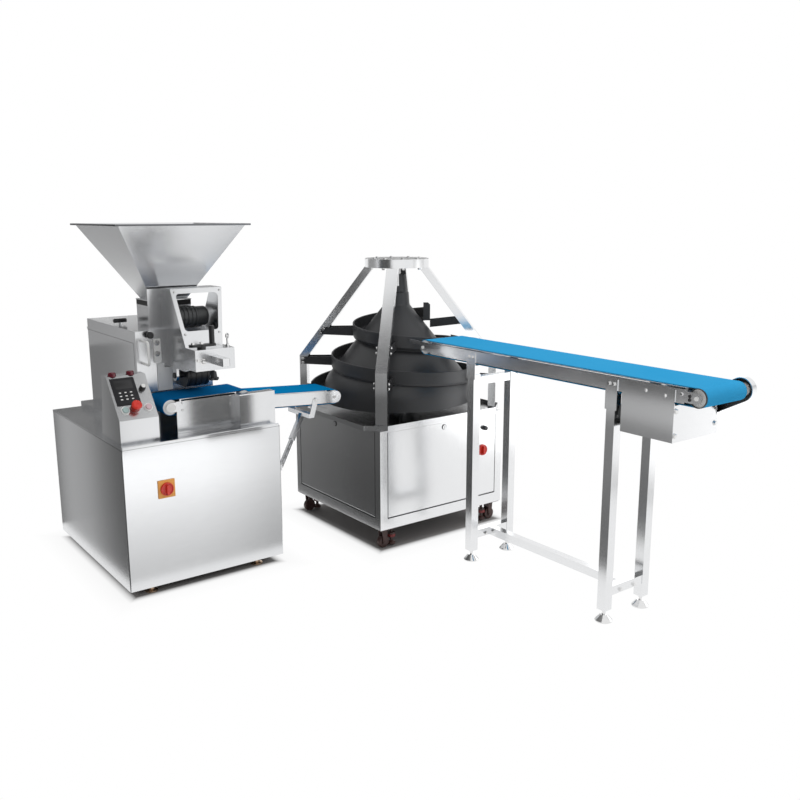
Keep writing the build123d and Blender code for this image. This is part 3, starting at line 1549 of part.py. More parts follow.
def track_arms():
    """A pair of plates around a post wherever the track passes one."""
    arms = []
    near = post_tangent_size / 2
    for corner in range(4):
        angle = 45 + 90 * corner
        turn = ((angle - track_top_angle) % 360) / 360
        while turn < track_turn_count:
            for y0, y1 in both_sides(near, near + arm_thickness):
                arms.append(Pos(rounder_x, rounder_y, 0) * Rot(0, 0, angle) * track_arm(turn, y0, y1))
            turn += 1
    return arms


def cone_gear_motor():
    """Hollow shaft gear box under the top plate, with its motor lying towards -Y."""
    half = cone_gearbox_size / 2
    top = rounder_top_height - rounder_top_plate
    low = top - cone_gearbox_height
    box = slab(-half, half, -half, half, low, top)
    box = fillet(box.edges().filter_by(Axis.Z), chamber_edge_radius)
    box -= rod((0, 0, low), (0, 0, top), cone_shaft_radius + running_clearance)
    motor = Rot(0, 0, -90) * finned_motor(cone_motor_radius, cone_motor_length)
    return Pos(rounder_x, rounder_y, 0) * (box + Pos(0, -half, top - cone_motor_drop) * motor)


# Outfeed conveyor; across the belt, u runs from its middle towards +X
outfeed_outer = outfeed_plate_inner + sheet
leg_offset = outfeed_outer - leg_insert_size / 2


def outfeed_frame():
    """Two flanged rails with bearing plates at the head, hooked take-up arms at the tail, and the bed."""
    top = outfeed_rail_height / 2
    rail_end = outfeed_length - rail_head_inset
    arm_end = rail_tail_inset + sheet
    take_up = [
        (arm_end, -take_up_low), (-take_up_low, -take_up_low), (-take_up_neck, take_up_low / 2),
        (-take_up_reach, take_up_tip_low), (-take_up_reach, take_up_tip_high), (arm_end, take_up_neck),
    ]
    body = conveyor_bed(outfeed_length, outfeed_plate_inner)
    for y0, y1 in both_sides(outfeed_plate_inner, outfeed_outer):
        body += slab(rail_tail_inset, rail_end, y0, y1, -top, top)
        body += along_y(take_up, y0, y1)
        body += rail_plate(outfeed_length - bearing_plate_length, outfeed_length, bearing_plate_height, y0, y1)
    for y0, y1 in both_sides(outfeed_plate_inner - outfeed_rail_flange, outfeed_outer):
        body += slab(rail_tail_inset, rail_end, y0, y1, top - sheet, top)
    return outfeed_place * (body - journal_bores(outfeed_length, outfeed_plate_inner))


def square_tube(u, y, size, wall, z0, z1):
    """Upright square tube."""
    half = size / 2
    bore = half - wall
    tube = slab(u - half, u + half, y - half, y + half, z0, z1)
    return tube - slab(u - bore, u + bore, y - bore, y + bore, z0 + wall, z1)


def outfeed_legs():
    """Two H-frames of telescopic legs with brackets on the rails, tied by a long lower bar."""
    half = leg_tube_size / 2
    insert = leg_insert_size / 2
    low = leg_lower_bar_bottom
    high = leg_tube_top - leg_upper_bar_drop
    insert_low = leg_tube_top - leg_insert_overlap
    frames = slab(-insert, insert, leg_y_near + insert, leg_y_far - insert, low, low + leg_bar_height)
    for y in (leg_y_near, leg_y_far):
        for bar_low in (low, high):
            frames += slab(-leg_offset + half, leg_offset - half, y - insert, y + insert,
                           bar_low, bar_low + leg_bar_height)
        for side in (-1, 1):
            u = side * leg_offset
            frames += square_tube(u, y, leg_tube_size, leg_tube_wall, leg_bottom, leg_tube_top)
            frames += square_tube(u, y, leg_insert_size, leg_insert_wall, insert_low, leg_top)
            face = side * outfeed_outer
            ends = sorted((face, face + side * leg_bracket_thickness))
            frames += slab(*ends, y - leg_bracket_width / 2, y + leg_bracket_width / 2,
                           leg_bracket_top - leg_bracket_height, leg_bracket_top)
    return Pos(outfeed_x, 0, 0) * frames


def outfeed_feet():
    """Four disc feet on threaded stems."""
    neck = disc_foot_height + disc_foot_cone_height
    foot = turned([
        (0, 0), (disc_foot_radius, 0), (disc_foot_radius, disc_foot_height / 2),
        (disc_foot_radius * 0.9, disc_foot_height), (disc_foot_stem_radius * 2, neck),
        (disc_foot_stem_radius, neck), (disc_foot_stem_radius, leg_bottom), (0, leg_bottom),
    ])
    places = four_corners(-leg_offset, leg_offset, leg_y_near, leg_y_far)
    return [Pos(outfeed_x + u, y, 0) * foot for u, y in places]


drive_box_far_y = drive_box_near_y + drive_box_depth
drive_box_half = outfeed_outer + sheet


def chain_guard_slot(radius):
    """Round-ended outline around the head roller and the motor shaft, in the (y, z) plane."""
    run = outfeed_motor_y - outfeed_head_y
    fall = outfeed_motor_z - outfeed_roller_z
    length = math.hypot(run, fall)
    middle = Pos((outfeed_motor_y + outfeed_head_y) / 2, (outfeed_motor_z + outfeed_roller_z) / 2)
    return middle * SlotCenterToCenter(length, 2 * radius, rotation=math.degrees(math.atan2(fall, run)))


def outfeed_covers():
    """Drive box under the belt, open behind, and the chain guard beside it, open inwards."""
    half = drive_box_half
    box = slab(-half, half, drive_box_near_y, drive_box_far_y, drive_box_bottom, drive_box_top)
    box -= slab(-half + sheet, half - sheet, drive_box_near_y + sheet, drive_box_far_y,
                drive_box_bottom + sheet, drive_box_top)
    cut = drive_box_corner_cut
    box -= along_y([(half, drive_box_top - 2 * cut), (half, drive_box_top), (half - cut, drive_box_top)],
                   drive_box_near_y, drive_box_near_y + sheet)
    for x0, x1 in ((-half, -outfeed_outer), (outfeed_outer, half)):
        box += slab(x0, x1, drive_box_near_y, drive_box_far_y, drive_box_top, drive_box_side_top)
    shaft_hole = outfeed_shaft_radius + slide_clearance
    box -= rod((0, outfeed_motor_y, outfeed_motor_z), (half, outfeed_motor_y, outfeed_motor_z), shaft_hole)
    guard = extrude(Plane.YZ.offset(half) * chain_guard_slot(chain_guard_radius), chain_guard_width)
    guard -= extrude(Plane.YZ.offset(half) * chain_guard_slot(chain_guard_radius - sheet),
                     chain_guard_width - sheet)
    return [Pos(outfeed_x, 0, 0) * box, Pos(outfeed_x, 0, 0) * guard]


def outfeed_gear_motor():
    """Gear motor on the drive box's floor, with an offset shaft and a sprocket in the chain guard."""
    box_start = drive_box_half - sheet - outfeed_gearbox_length
    half = outfeed_gearbox_size / 2
    barrel_y = outfeed_motor_y + outfeed_motor_offset
    motor = Pos(box_start - outfeed_motor_length, barrel_y, outfeed_motor_z) * finned_motor(
        outfeed_motor_radius, outfeed_motor_length)
    box = slab(box_start, box_start + outfeed_gearbox_length, outfeed_motor_y - half, barrel_y + half,
               drive_box_bottom + sheet, outfeed_motor_z + half)
    motor += fillet(box.edges().filter_by(Axis.Z), chamber_edge_radius)
    shaft_end = drive_box_half + chain_guard_width - 2 * sheet
    motor += rod((box_start, outfeed_motor_y, outfeed_motor_z), (shaft_end, outfeed_motor_y, outfeed_motor_z),
                 outfeed_shaft_radius)
    motor += rod((shaft_end - sprocket_width, outfeed_motor_y, outfeed_motor_z),
                 (shaft_end, outfeed_motor_y, outfeed_motor_z), outfeed_sprocket_radius)
    return Pos(outfeed_x, 0, 0) * motor


def outfeed_head_roller():
    """Driven roller, its sprocket in the chain guard."""
    reach = drive_box_half + chain_guard_width - 2 * sheet - outfeed_outer - journal_stand_out
    roller = belt_roller(outfeed_belt_half_width, outfeed_outer, reach, outfeed_sprocket_radius)
    return outfeed_place * Pos(outfeed_length, 0, 0) * roller


def save(node, shape):
    """Write one node, shifted to the middle of the floor plan."""
    shift = Pos(-plan_centre_x, -plan_centre_y, 0)
    solids = []
    for piece in shape if isinstance(shape, list) else [shape]:
        solids += (shift * piece).solids()
    export_step(solids[0] if len(solids) == 1 else Compound(children=solids), f"parts/{node}.step")


def main():
    os.makedirs("parts", exist_ok=True)
    short_outer = discharge_plate_inner + sheet
    transfer_outer = transfer_plate_inner + sheet
    nodes = {
        "divider_cabinet": divider_cabinet(),
        "divider_feet": divider_feet(),
        "divider_switch_knob": divider_switch_knob(),
        "console_housing": console_housing(),
        "console_start_button": push_button(start_button_u, start_button_v),
        "console_stop_button": push_button(stop_button_u, stop_button_v),
        "console_emergency_stop": console_emergency_stop(),
        "console_speed_knob": console_speed_knob(),
        "drive_housing": drive_housing(),
        "housing_lid": housing_lid(),
        "metering_chamber": metering_chamber(),
        "hopper_gasket": hopper_gasket(),
        "hopper": hopper(),
        "ram_chamber": ram_chamber(),
        "dough_ram": dough_ram(),
        "head_yoke": head_yoke(),
        "dividing_drum": dividing_drum(),
        "head_guard": head_guard(),
        "head_gear_motor": head_gear_motor(),
        "weight_crank": weight_crank(),
        "weight_bar": weight_bar(),
        "star_knob": star_knob(),
        "wall_fittings": wall_fittings(),
        "clamp_knob": clamp_knob(),
        "discharge_frame": discharge_frame(),
        "discharge_belt": discharge_place * belt_loop(discharge_length, short_belt_half_width),
        "discharge_idler_roller": discharge_place * belt_roller(short_belt_half_width, short_outer),
        "discharge_drive_roller": discharge_place * Pos(discharge_length, 0, 0) * driven_roller(short_outer),
        "drive_cover": drive_cover(),
        "transfer_frame": transfer_frame(),
        "transfer_belt": transfer_place * belt_loop(transfer_length, short_belt_half_width),
        "transfer_drive_roller": transfer_place * driven_roller(transfer_outer),
        "transfer_end_roller": transfer_place * Pos(transfer_length, 0, 0) * belt_roller(
            short_belt_half_width, transfer_outer),
        "transfer_brace": transfer_brace(),
        "rounder_cabinet": rounder_cabinet(),
        "front_door": front_door(),
        "side_door": side_door(),
        "rounder_switch_knob": rounder_switch_knob(),
        "rounder_speed_knob": rounder_speed_knob(),
        "caster_brackets": caster_brackets(),
        "rounder_tray": rounder_tray(),
        "corner_posts": corner_posts(),
        "top_ring": top_ring(),
        "rounding_cone": rounding_cone(),
        "cone_shaft": cone_shaft(),
        "spiral_track": spiral_track(),
        "track_arms": track_arms(),
        "cone_gear_motor": cone_gear_motor(),
        "outfeed_frame": outfeed_frame(),
        "outfeed_belt": outfeed_place * belt_loop(outfeed_length, outfeed_belt_half_width),
        "outfeed_tail_roller": outfeed_place * belt_roller(outfeed_belt_half_width, outfeed_outer),
        "outfeed_head_roller": outfeed_head_roller(),
        "outfeed_legs": outfeed_legs(),
        "outfeed_feet": outfeed_feet(),
        "outfeed_covers": outfeed_covers(),
        "outfeed_gear_motor": outfeed_gear_motor(),
    }
    for number, place in enumerate(caster_places(), start=1):
        nodes[f"caster_wheel_{number}"] = caster_wheel(place)
    for node, shape in nodes.items():
        save(node, shape)


main()
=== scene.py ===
"""Dress the dough divider rounder: finishes, small fittings, studio light and camera."""
import logging
import math
from dataclasses import dataclass, field
from enum import Enum
from typing import Any, Iterable, Sequence

import bmesh
import bpy
from mathutils import Matrix, Vector


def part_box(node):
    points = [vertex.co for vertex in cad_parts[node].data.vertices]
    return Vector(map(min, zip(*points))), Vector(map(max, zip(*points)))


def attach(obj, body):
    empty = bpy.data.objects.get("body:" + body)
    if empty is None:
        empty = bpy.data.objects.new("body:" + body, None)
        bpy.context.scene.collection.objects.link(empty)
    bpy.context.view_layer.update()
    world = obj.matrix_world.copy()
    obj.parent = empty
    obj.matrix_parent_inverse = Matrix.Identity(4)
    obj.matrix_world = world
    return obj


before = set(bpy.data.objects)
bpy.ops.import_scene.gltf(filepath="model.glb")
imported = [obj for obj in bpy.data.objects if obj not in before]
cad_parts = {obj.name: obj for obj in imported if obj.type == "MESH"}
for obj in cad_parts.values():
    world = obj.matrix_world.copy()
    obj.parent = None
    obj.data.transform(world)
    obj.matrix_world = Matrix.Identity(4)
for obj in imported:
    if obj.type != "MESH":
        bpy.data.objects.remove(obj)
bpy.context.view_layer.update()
LOG = logging.getLogger("line")
MM = 0.001
ROOT = "line_frame"
CABINET_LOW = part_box("divider_cabinet")[0]
Pair = tuple[float, float]
Pairs = tuple[Pair, ...]
Triple = tuple[float, float, float]
Colour = Triple
EVEN: Triple = (1.0, 1.0, 1.0)
WHITE: Colour = (1.0, 1.0, 1.0)
BLACK: Colour = (0.0, 0.0, 0.0)


def at(x: float, y: float, z: float) -> Vector:
    """The point so many millimetres right of, behind and above the divider's front left floor corner."""
    return Vector((CABINET_LOW.x + x * MM, CABINET_LOW.y + y * MM, z * MM))


class Facing(Enum):
    """Directions that a fitting can point in."""

    FRONT = (0.0, -1.0, 0.0)
    LEFT = (-1.0, 0.0, 0.0)
    RIGHT = (1.0, 0.0, 0.0)
    UP = (0.0, 0.0, 1.0)
    DOWN = (0.0, 0.0, -1.0)

    @property
    def way(self) -> Vector:
        """The direction as a vector."""
        return Vector(self.value)


class Bolt(Enum):
    """Bolt heads: corner radius, height and washer radius in millimetres, zero for no washer."""

    ARM = (6.5, 4.5, 8.5)
    RAIL = (7.0, 4.0, 0.0)
    SMALL = (7.0, 5.0, 10.0)
    FRAME = (8.0, 5.0, 11.0)
    LINK = (8.0, 7.0, 11.0)
    LEG = (8.0, 8.0, 11.0)
    RING = (8.0, 12.0, 0.0)
    BOX = (9.0, 6.0, 12.0)
    EYE = (9.0, 7.0, 11.0)
    CRANK = (9.0, 9.0, 13.0)
    WALL = (10.0, 6.0, 13.0)
    BEAM = (12.0, 10.0, 17.0)


class Tap:
    """An output socket that shader arithmetic can be written with."""

    def __init__(self, tree: bpy.types.NodeTree, socket: bpy.types.NodeSocket) -> None:
        """Keep the tree and the socket."""
        self.tree = tree
        self.socket = socket

    def reckon(self, operation: str, first: Any, second: Any) -> "Tap":
        """Add one Math node.

        Args:
            operation: The Math node's operation.
            first: A tap or a number.
            second: A tap or a number.

        Returns:
            The node's output.
        """
        node = self.tree.nodes.new("ShaderNodeMath")
        node.operation = operation
        for index, value in enumerate((first, second)):
            if isinstance(value, Tap):
                self.tree.links.new(value.socket, node.inputs[index])
            else:
                node.inputs[index].default_value = value
        return Tap(self.tree, node.outputs[0])

    def __add__(self, other: Any) -> "Tap":
        """Sum."""
        return self.reckon("ADD", self, other)

    def __radd__(self, other: Any) -> "Tap":
        """Sum with a number on the left."""
        return self.reckon("ADD", other, self)

    def __sub__(self, other: Any) -> "Tap":
        """Difference."""
        return self.reckon("SUBTRACT", self, other)

    def __rsub__(self, other: Any) -> "Tap":
        """Difference with a number on the left."""
        return self.reckon("SUBTRACT", other, self)

    def __mul__(self, other: Any) -> "Tap":
        """Product."""
        return self.reckon("MULTIPLY", self, other)

    def __rmul__(self, other: Any) -> "Tap":
        """Product with a number on the left."""
        return self.reckon("MULTIPLY", other, self)

    def __abs__(self) -> "Tap":
        """Size without the sign."""
        return self.reckon("ABSOLUTE", self, 0.0)

    def larger(self, other: Any) -> "Tap":
        """The larger of the two."""
        return self.reckon("MAXIMUM", self, other)

    def smaller(self, other: Any) -> "Tap":
        """The smaller of the two."""
        return self.reckon("MINIMUM", self, other)


class Graph:
    """A node tree under construction."""

    def __init__(self, tree: bpy.types.NodeTree) -> None:
        """Keep the tree."""
        self.tree = tree

    def node(self, kind: str, settings: dict[str, Any], sockets: dict[Any, Any],
             output: str | int = 0) -> Tap:
        """Add a node.

        Args:
            kind: The node's type.
            settings: Properties of the node, set first; "stops" fills a colour ramp.
            sockets: Values or taps for its inputs.
            output: Which output to return.

        Returns:
            The chosen output.
        """
        node = self.tree.nodes.new(kind)
        for key, value in settings.items():
            if key == "stops":
                self._fill_ramp(node, value)
            else:
                setattr(node, key, value)
        for key, value in sockets.items():
            self.feed(node.inputs[key], value)
        return Tap(self.tree, node.outputs[output])

    def _fill_ramp(self, node: bpy.types.Node, stops: Sequence[Pair]) -> None:
        """Set a ramp's stops, each a place and a grey level.

        Args:
            node: The ramp.
            stops: Its stops in order.
        """
        elements = node.color_ramp.elements
        while len(elements) < len(stops):
            elements.new(1.0)
        for element, (place, level) in zip(elements, stops):
            element.position = place
            element.color = (level, level, level, 1.0)

    def feed(self, socket: bpy.types.NodeSocket, value: Any) -> None:
        """Link a tap to a socket, or set its value.

        Args:
            socket: The input.
            value: A tap, a number, a vector or a colour.
        """
        if isinstance(value, Tap):
            self.tree.links.new(value.socket, socket)
        elif isinstance(value, (tuple, list)) and socket.type == "RGBA" and len(value) == 3:
            socket.default_value = (*value, 1.0)
        else:
            socket.default_value = value

    def seen(self) -> Tap:
        """Mark the rays that show the background.

        Returns:
            One for camera, mirror and see-through rays, otherwise zero.
        """
        rays = ("Is Camera Ray", "Is Glossy Ray", "Is Transmission Ray")
        camera, *others = (self.node("ShaderNodeLightPath", {}, {}, ray) for ray in rays)
        return sum(others, camera)


class Recipe(Graph):
    """A material under construction."""

    def __init__(self, name: str) -> None:
        """Start a material with only its surface shader.

        Args:
            name: The material's name.
        """
        self.material = bpy.data.materials.new(name)
        self.material.use_nodes = True
        super().__init__(self.material.node_tree)
        self.shader = self.tree.nodes["Principled BSDF"]

    def surface(self, **sockets: Any) -> None:
        """Set the surface shader's sockets by name, with _ for a space."""
        for key, value in sockets.items():
            self.feed(self.shader.inputs[key.replace("_", " ")], value)

    def place(self, scale: Triple = EVEN) -> Tap:
        """Object coordinates, stretched by a scale."""
        spot = self.node("ShaderNodeTexCoord", {}, {}, "Object")
        return self.node("ShaderNodeMapping", {}, {"Vector": spot, "Scale": scale})

    def part(self, vector: Tap, axis: str) -> Tap:
        """One coordinate of a vector."""
        return self.node("ShaderNodeSeparateXYZ", {}, {0: vector}, axis)

    def noise(self, scale: float, stretch: Triple = EVEN, detail: float = 3.0, rough: float = 0.55) -> Tap:
        """Noise between about 0.2 and 0.8."""
        return self.node("ShaderNodeTexNoise", {}, {
            "Vector": self.place(stretch), "Scale": scale, "Detail": detail, "Roughness": rough})

    def ramp(self, value: Tap, stops: Sequence[Pair]) -> Tap:
        """Levels along a value from 0 to 1."""
        return self.node("ShaderNodeValToRGB", {"stops": stops}, {0: value})

    def blend(self, factor: Any, low: Any, high: Any, way: str = "MIX") -> Tap:
        """Mix two colours, which a Mix node takes at sockets 6 and 7 and gives at 2."""
        settings = {"data_type": "RGBA", "blend_type": way}
        return self.node("ShaderNodeMix", settings, {0: factor, 6: low, 7: high}, 2)

    def bump(self, height: Tap, strength: float, distance: float) -> Tap:
        """Surface relief from a height."""
        return self.node("ShaderNodeBump", {}, {"Strength": strength, "Distance": distance, "Height": height})


def shade(tone: Colour, factor: float) -> Colour:
    """A colour made darker or lighter."""
    return tuple(min(1.0, channel * factor) for channel in tone)


def weigh(layers: Sequence[Tap], weights: Sequence[float]) -> Tap:
    """Sum of layers, each times its weight."""
    first, *rest = (layer * weight for layer, weight in zip(layers, weights))
    return sum(rest, first)


@dataclass(frozen=True)
class BrushedSteel:
    """Stainless sheet with a fine grain, wiped clouds and a few handling marks.

    Grain, clouds and marks move the tone by their shares of the contrast, and the roughness by their swings.
    """

    name: str
    tone: Colour = (0.77, 0.778, 0.79)
    roughness: float = 0.22
    stretch: Triple = (1.0, 1.0, 90.0)
    contrast: float = 0.10
    shares: Triple = (0.45, 0.35, 0.20)
    swings: Triple = (0.06, 0.08, 0.05)

    def make(self) -> bpy.types.Material:
        """Build the material.

        Returns:
            The material.
        """
        recipe = Recipe(self.name)
        grain = recipe.noise(9.0, self.stretch, detail=4.0, rough=0.6)
        clouds = recipe.noise(1.7, (1.0, 1.0, 0.5), detail=5.0, rough=0.6)
        marks = recipe.noise(26.0, (1.0, 1.0, 1.6), detail=2.0, rough=0.7)
        layers = (grain, clouds, marks)
        dark, light = shade(self.tone, 1 - self.contrast), shade(self.tone, 1 + self.contrast)
        recipe.surface(
            Base_Color=recipe.blend(weigh(layers, self.shares), dark, light),
            Metallic=1.0,
            Roughness=weigh(layers, self.swings) + (self.roughness - sum(self.swings) / 2),
            Normal=recipe.bump(grain, strength=0.03, distance=0.0003),
        )
        return recipe.material


@dataclass(frozen=True)
class Coating:
    """Paint, moulding or coating with a fine skin, rubbed places and perhaps a clear coat."""

    name: str
    tone: Colour
    worn: Colour
    roughness: float = 0.45
    grain: float = 260.0
    relief: float = 0.06
    coat: float = 0.0
    swing: float = 0.16

    def make(self) -> bpy.types.Material:
        """Build the material.

        Returns:
            The material.
        """
        recipe = Recipe(self.name)
        skin = recipe.noise(self.grain, detail=2.0)
        cloud = recipe.noise(5.0, detail=5.0, rough=0.6)
        recipe.surface(
            Base_Color=recipe.blend(cloud, self.tone, self.worn),
            Metallic=0.0,
            Roughness=cloud * self.swing + (self.roughness - self.swing / 2),
            Coat_Weight=self.coat,
            Normal=recipe.bump(skin, self.relief, distance=0.0005),
        )
        return recipe.material


@dataclass(frozen=True)
class BeltFabric:
    """Smooth food belt with a faint weave under its skin and a pale dusting of flour."""

    name: str
    tone: Colour
    pale: Colour
    threads: float = 260.0
    smoothest: float = 0.45
    swing: float = 0.2

    def make(self) -> bpy.types.Material:
        """Build the material.

        Returns:
            The material.
        """
        recipe = Recipe(self.name)
        sockets = {"Vector": recipe.place(), "Scale": self.threads}
        warp, weft = (recipe.node("ShaderNodeTexWave", {"bands_direction": way}, sockets) for way in "XY")
        dust = recipe.noise(3.0, detail=6.0, rough=0.65)
        recipe.surface(
            Base_Color=recipe.blend(dust, self.tone, self.pale),
            Roughness=dust * self.swing + self.smoothest,
            Specular_IOR_Level=0.0,
            Normal=recipe.bump(warp * weft, strength=0.05, distance=0.0003),
        )
        return recipe.material


@dataclass(frozen=True)
class Polished:
    """Turned and polished metal with fine marks a little darker than its tone."""

    name: str
    tone: Colour = (0.82, 0.82, 0.82)
    roughness: float = 0.14
    darkest: float = 0.88
    swing: float = 0.12

    def make(self) -> bpy.types.Material:
        """Build the material.

        Returns:
            The material.
        """
        recipe = Recipe(self.name)
        marks = recipe.noise(30.0, (1.0, 1.0, 6.0))
        recipe.surface(
            Base_Color=recipe.blend(marks, shade(self.tone, self.darkest), self.tone),
            Metallic=1.0,
            Roughness=marks * self.swing + (self.roughness - self.swing / 2),
        )
        return recipe.material


@dataclass
class Finishes:
    """All finishes of the line, made once."""

    made: dict[str, bpy.types.Material] = field(default_factory=dict)

    def build(self) -> None:
        """Make every material."""
        recipes = [
            BrushedSteel("stainless"),
            # lit_stainless is the stainless set lighter, a lit copy of it: painted light on the parts that
            # take it.
            BrushedSteel("lit_stainless", (0.81, 0.816, 0.825), 0.20),
            # shaded_steel is the same stainless set dark, a shaded copy of it: painted shade.
            BrushedSteel("shaded_steel", (0.20, 0.205, 0.215), 0.40),
            Polished("polished_steel"),
            Polished("bronze_foot", (0.60, 0.44, 0.31), 0.24),
            Coating("coated_black", (0.023, 0.024, 0.026), (0.034, 0.035, 0.038), 0.44, 420.0, 0.10),
            Coating("black_paint", (0.016, 0.016, 0.018), (0.028, 0.028, 0.03), 0.40),
            Coating("motor_paint", (0.030, 0.032, 0.033), (0.055, 0.058, 0.06), 0.40),
            Coating("black_rubber", (0.014, 0.014, 0.015), (0.03, 0.03, 0.03), 0.62),
            Coating("black_plastic", (0.012, 0.012, 0.013), (0.024, 0.024, 0.026), 0.34),
            Coating("white_plastic", (0.82, 0.82, 0.81), (0.76, 0.76, 0.75), 0.40),
            Coating("red_plastic", (0.66, 0.030, 0.016), (0.54, 0.020, 0.010), 0.30, 200.0, 0.02, 0.2),
            Coating("green_plastic", (0.38, 0.50, 0.49), (0.32, 0.44, 0.43), 0.30, 200.0, 0.02, 0.2),
            Coating("rose_plastic", (0.62, 0.47, 0.50), (0.58, 0.40, 0.43), 0.34, 200.0, 0.02, 0.2),
            Coating("orange_plastic", (0.78, 0.36, 0.07), (0.66, 0.27, 0.04), 0.42),
            Coating("wine_plastic", (0.14, 0.006, 0.020), (0.08, 0.004, 0.010), 0.18, 200.0, 0.02, 0.3),
            Coating("brown_plastic", (0.030, 0.012, 0.010), (0.060, 0.022, 0.017), 0.46),
            Coating("dark_red_plastic", (0.20, 0.012, 0.012), (0.12, 0.010, 0.010), 0.40),
            Coating("glossy_red_plastic", (0.30, 0.020, 0.014), (0.22, 0.014, 0.010), 0.14, 200.0, 0.01, 0.5),
            Coating("panel_black", (0.008, 0.008, 0.010), (0.014, 0.014, 0.017), 0.55, 300.0, 0.02),
            BeltFabric("blue_belt", (0.024, 0.285, 0.560), (0.050, 0.330, 0.590)),
            BeltFabric("deep_blue_belt", (0.001, 0.165, 0.400), (0.004, 0.200, 0.450)),
            # painted_shade_belt is the belt blue darkened for the shadow that the head casts on the discharge
            # belt: painted shade.
            BeltFabric("painted_shade_belt", (0.003, 0.105, 0.290), (0.006, 0.130, 0.330)),
        ]
        for finish in recipes:
            self.made[finish.name] = finish.make()
            LOG.info("finish %s", finish.name)

    def __getitem__(self, name: str) -> bpy.types.Material:
        """The material of that name."""
        return self.made[name]


# CAD nodes by finish; nodes that are not named here are stainless.
NODE_FINISH = {
    "polished_steel": ("outfeed_feet", "cone_shaft"),
    # The ram chamber is dark in the shaded copy of the stainless: painted shade.
    "shaded_steel": ("ram_chamber",),
    "bronze_foot": ("divider_feet",),
    "white_plastic": ("discharge_idler_roller", "discharge_drive_roller", "transfer_drive_roller",
                      "transfer_end_roller", "outfeed_tail_roller", "outfeed_head_roller", "dough_ram",
                      "wall_fittings"),
    "coated_black": ("rounding_cone", "spiral_track"),
    "black_paint": ("track_arms",),
    "brown_plastic": ("caster_brackets", *(f"caster_wheel_{number}" for number in range(1, 5))),
    "motor_paint": ("head_gear_motor", "cone_gear_motor", "outfeed_gear_motor"),
    "blue_belt": ("outfeed_belt",),
    "deep_blue_belt": ("transfer_belt",),
    # The discharge belt takes the darkened blue: painted shade from the head above it.
    "painted_shade_belt": ("discharge_belt",),
    "black_rubber": ("hopper_gasket", "console_speed_knob"),
    "black_plastic": ("dividing_drum", "star_knob", "clamp_knob", "rounder_speed_knob", "weight_crank"),
    "red_plastic": ("divider_switch_knob", "rounder_switch_knob", "console_emergency_stop"),
    "rose_plastic": ("console_stop_button",),
    "green_plastic": ("console_start_button",),
    # These parts take the lit copy of the stainless: their steel is real, the extra lightness is painted
    # light.
    "lit_stainless": ("drive_cover", "weight_bar", "transfer_frame", "corner_posts", "top_ring",
                         "outfeed_legs", "rounder_cabinet", "front_door", "side_door", "outfeed_covers"),
}


def turn_to(facing: Vector) -> Matrix:
    """The turn that brings +Z to a direction."""
    return Vector((0, 0, 1)).rotation_difference(facing).to_matrix().to_4x4()


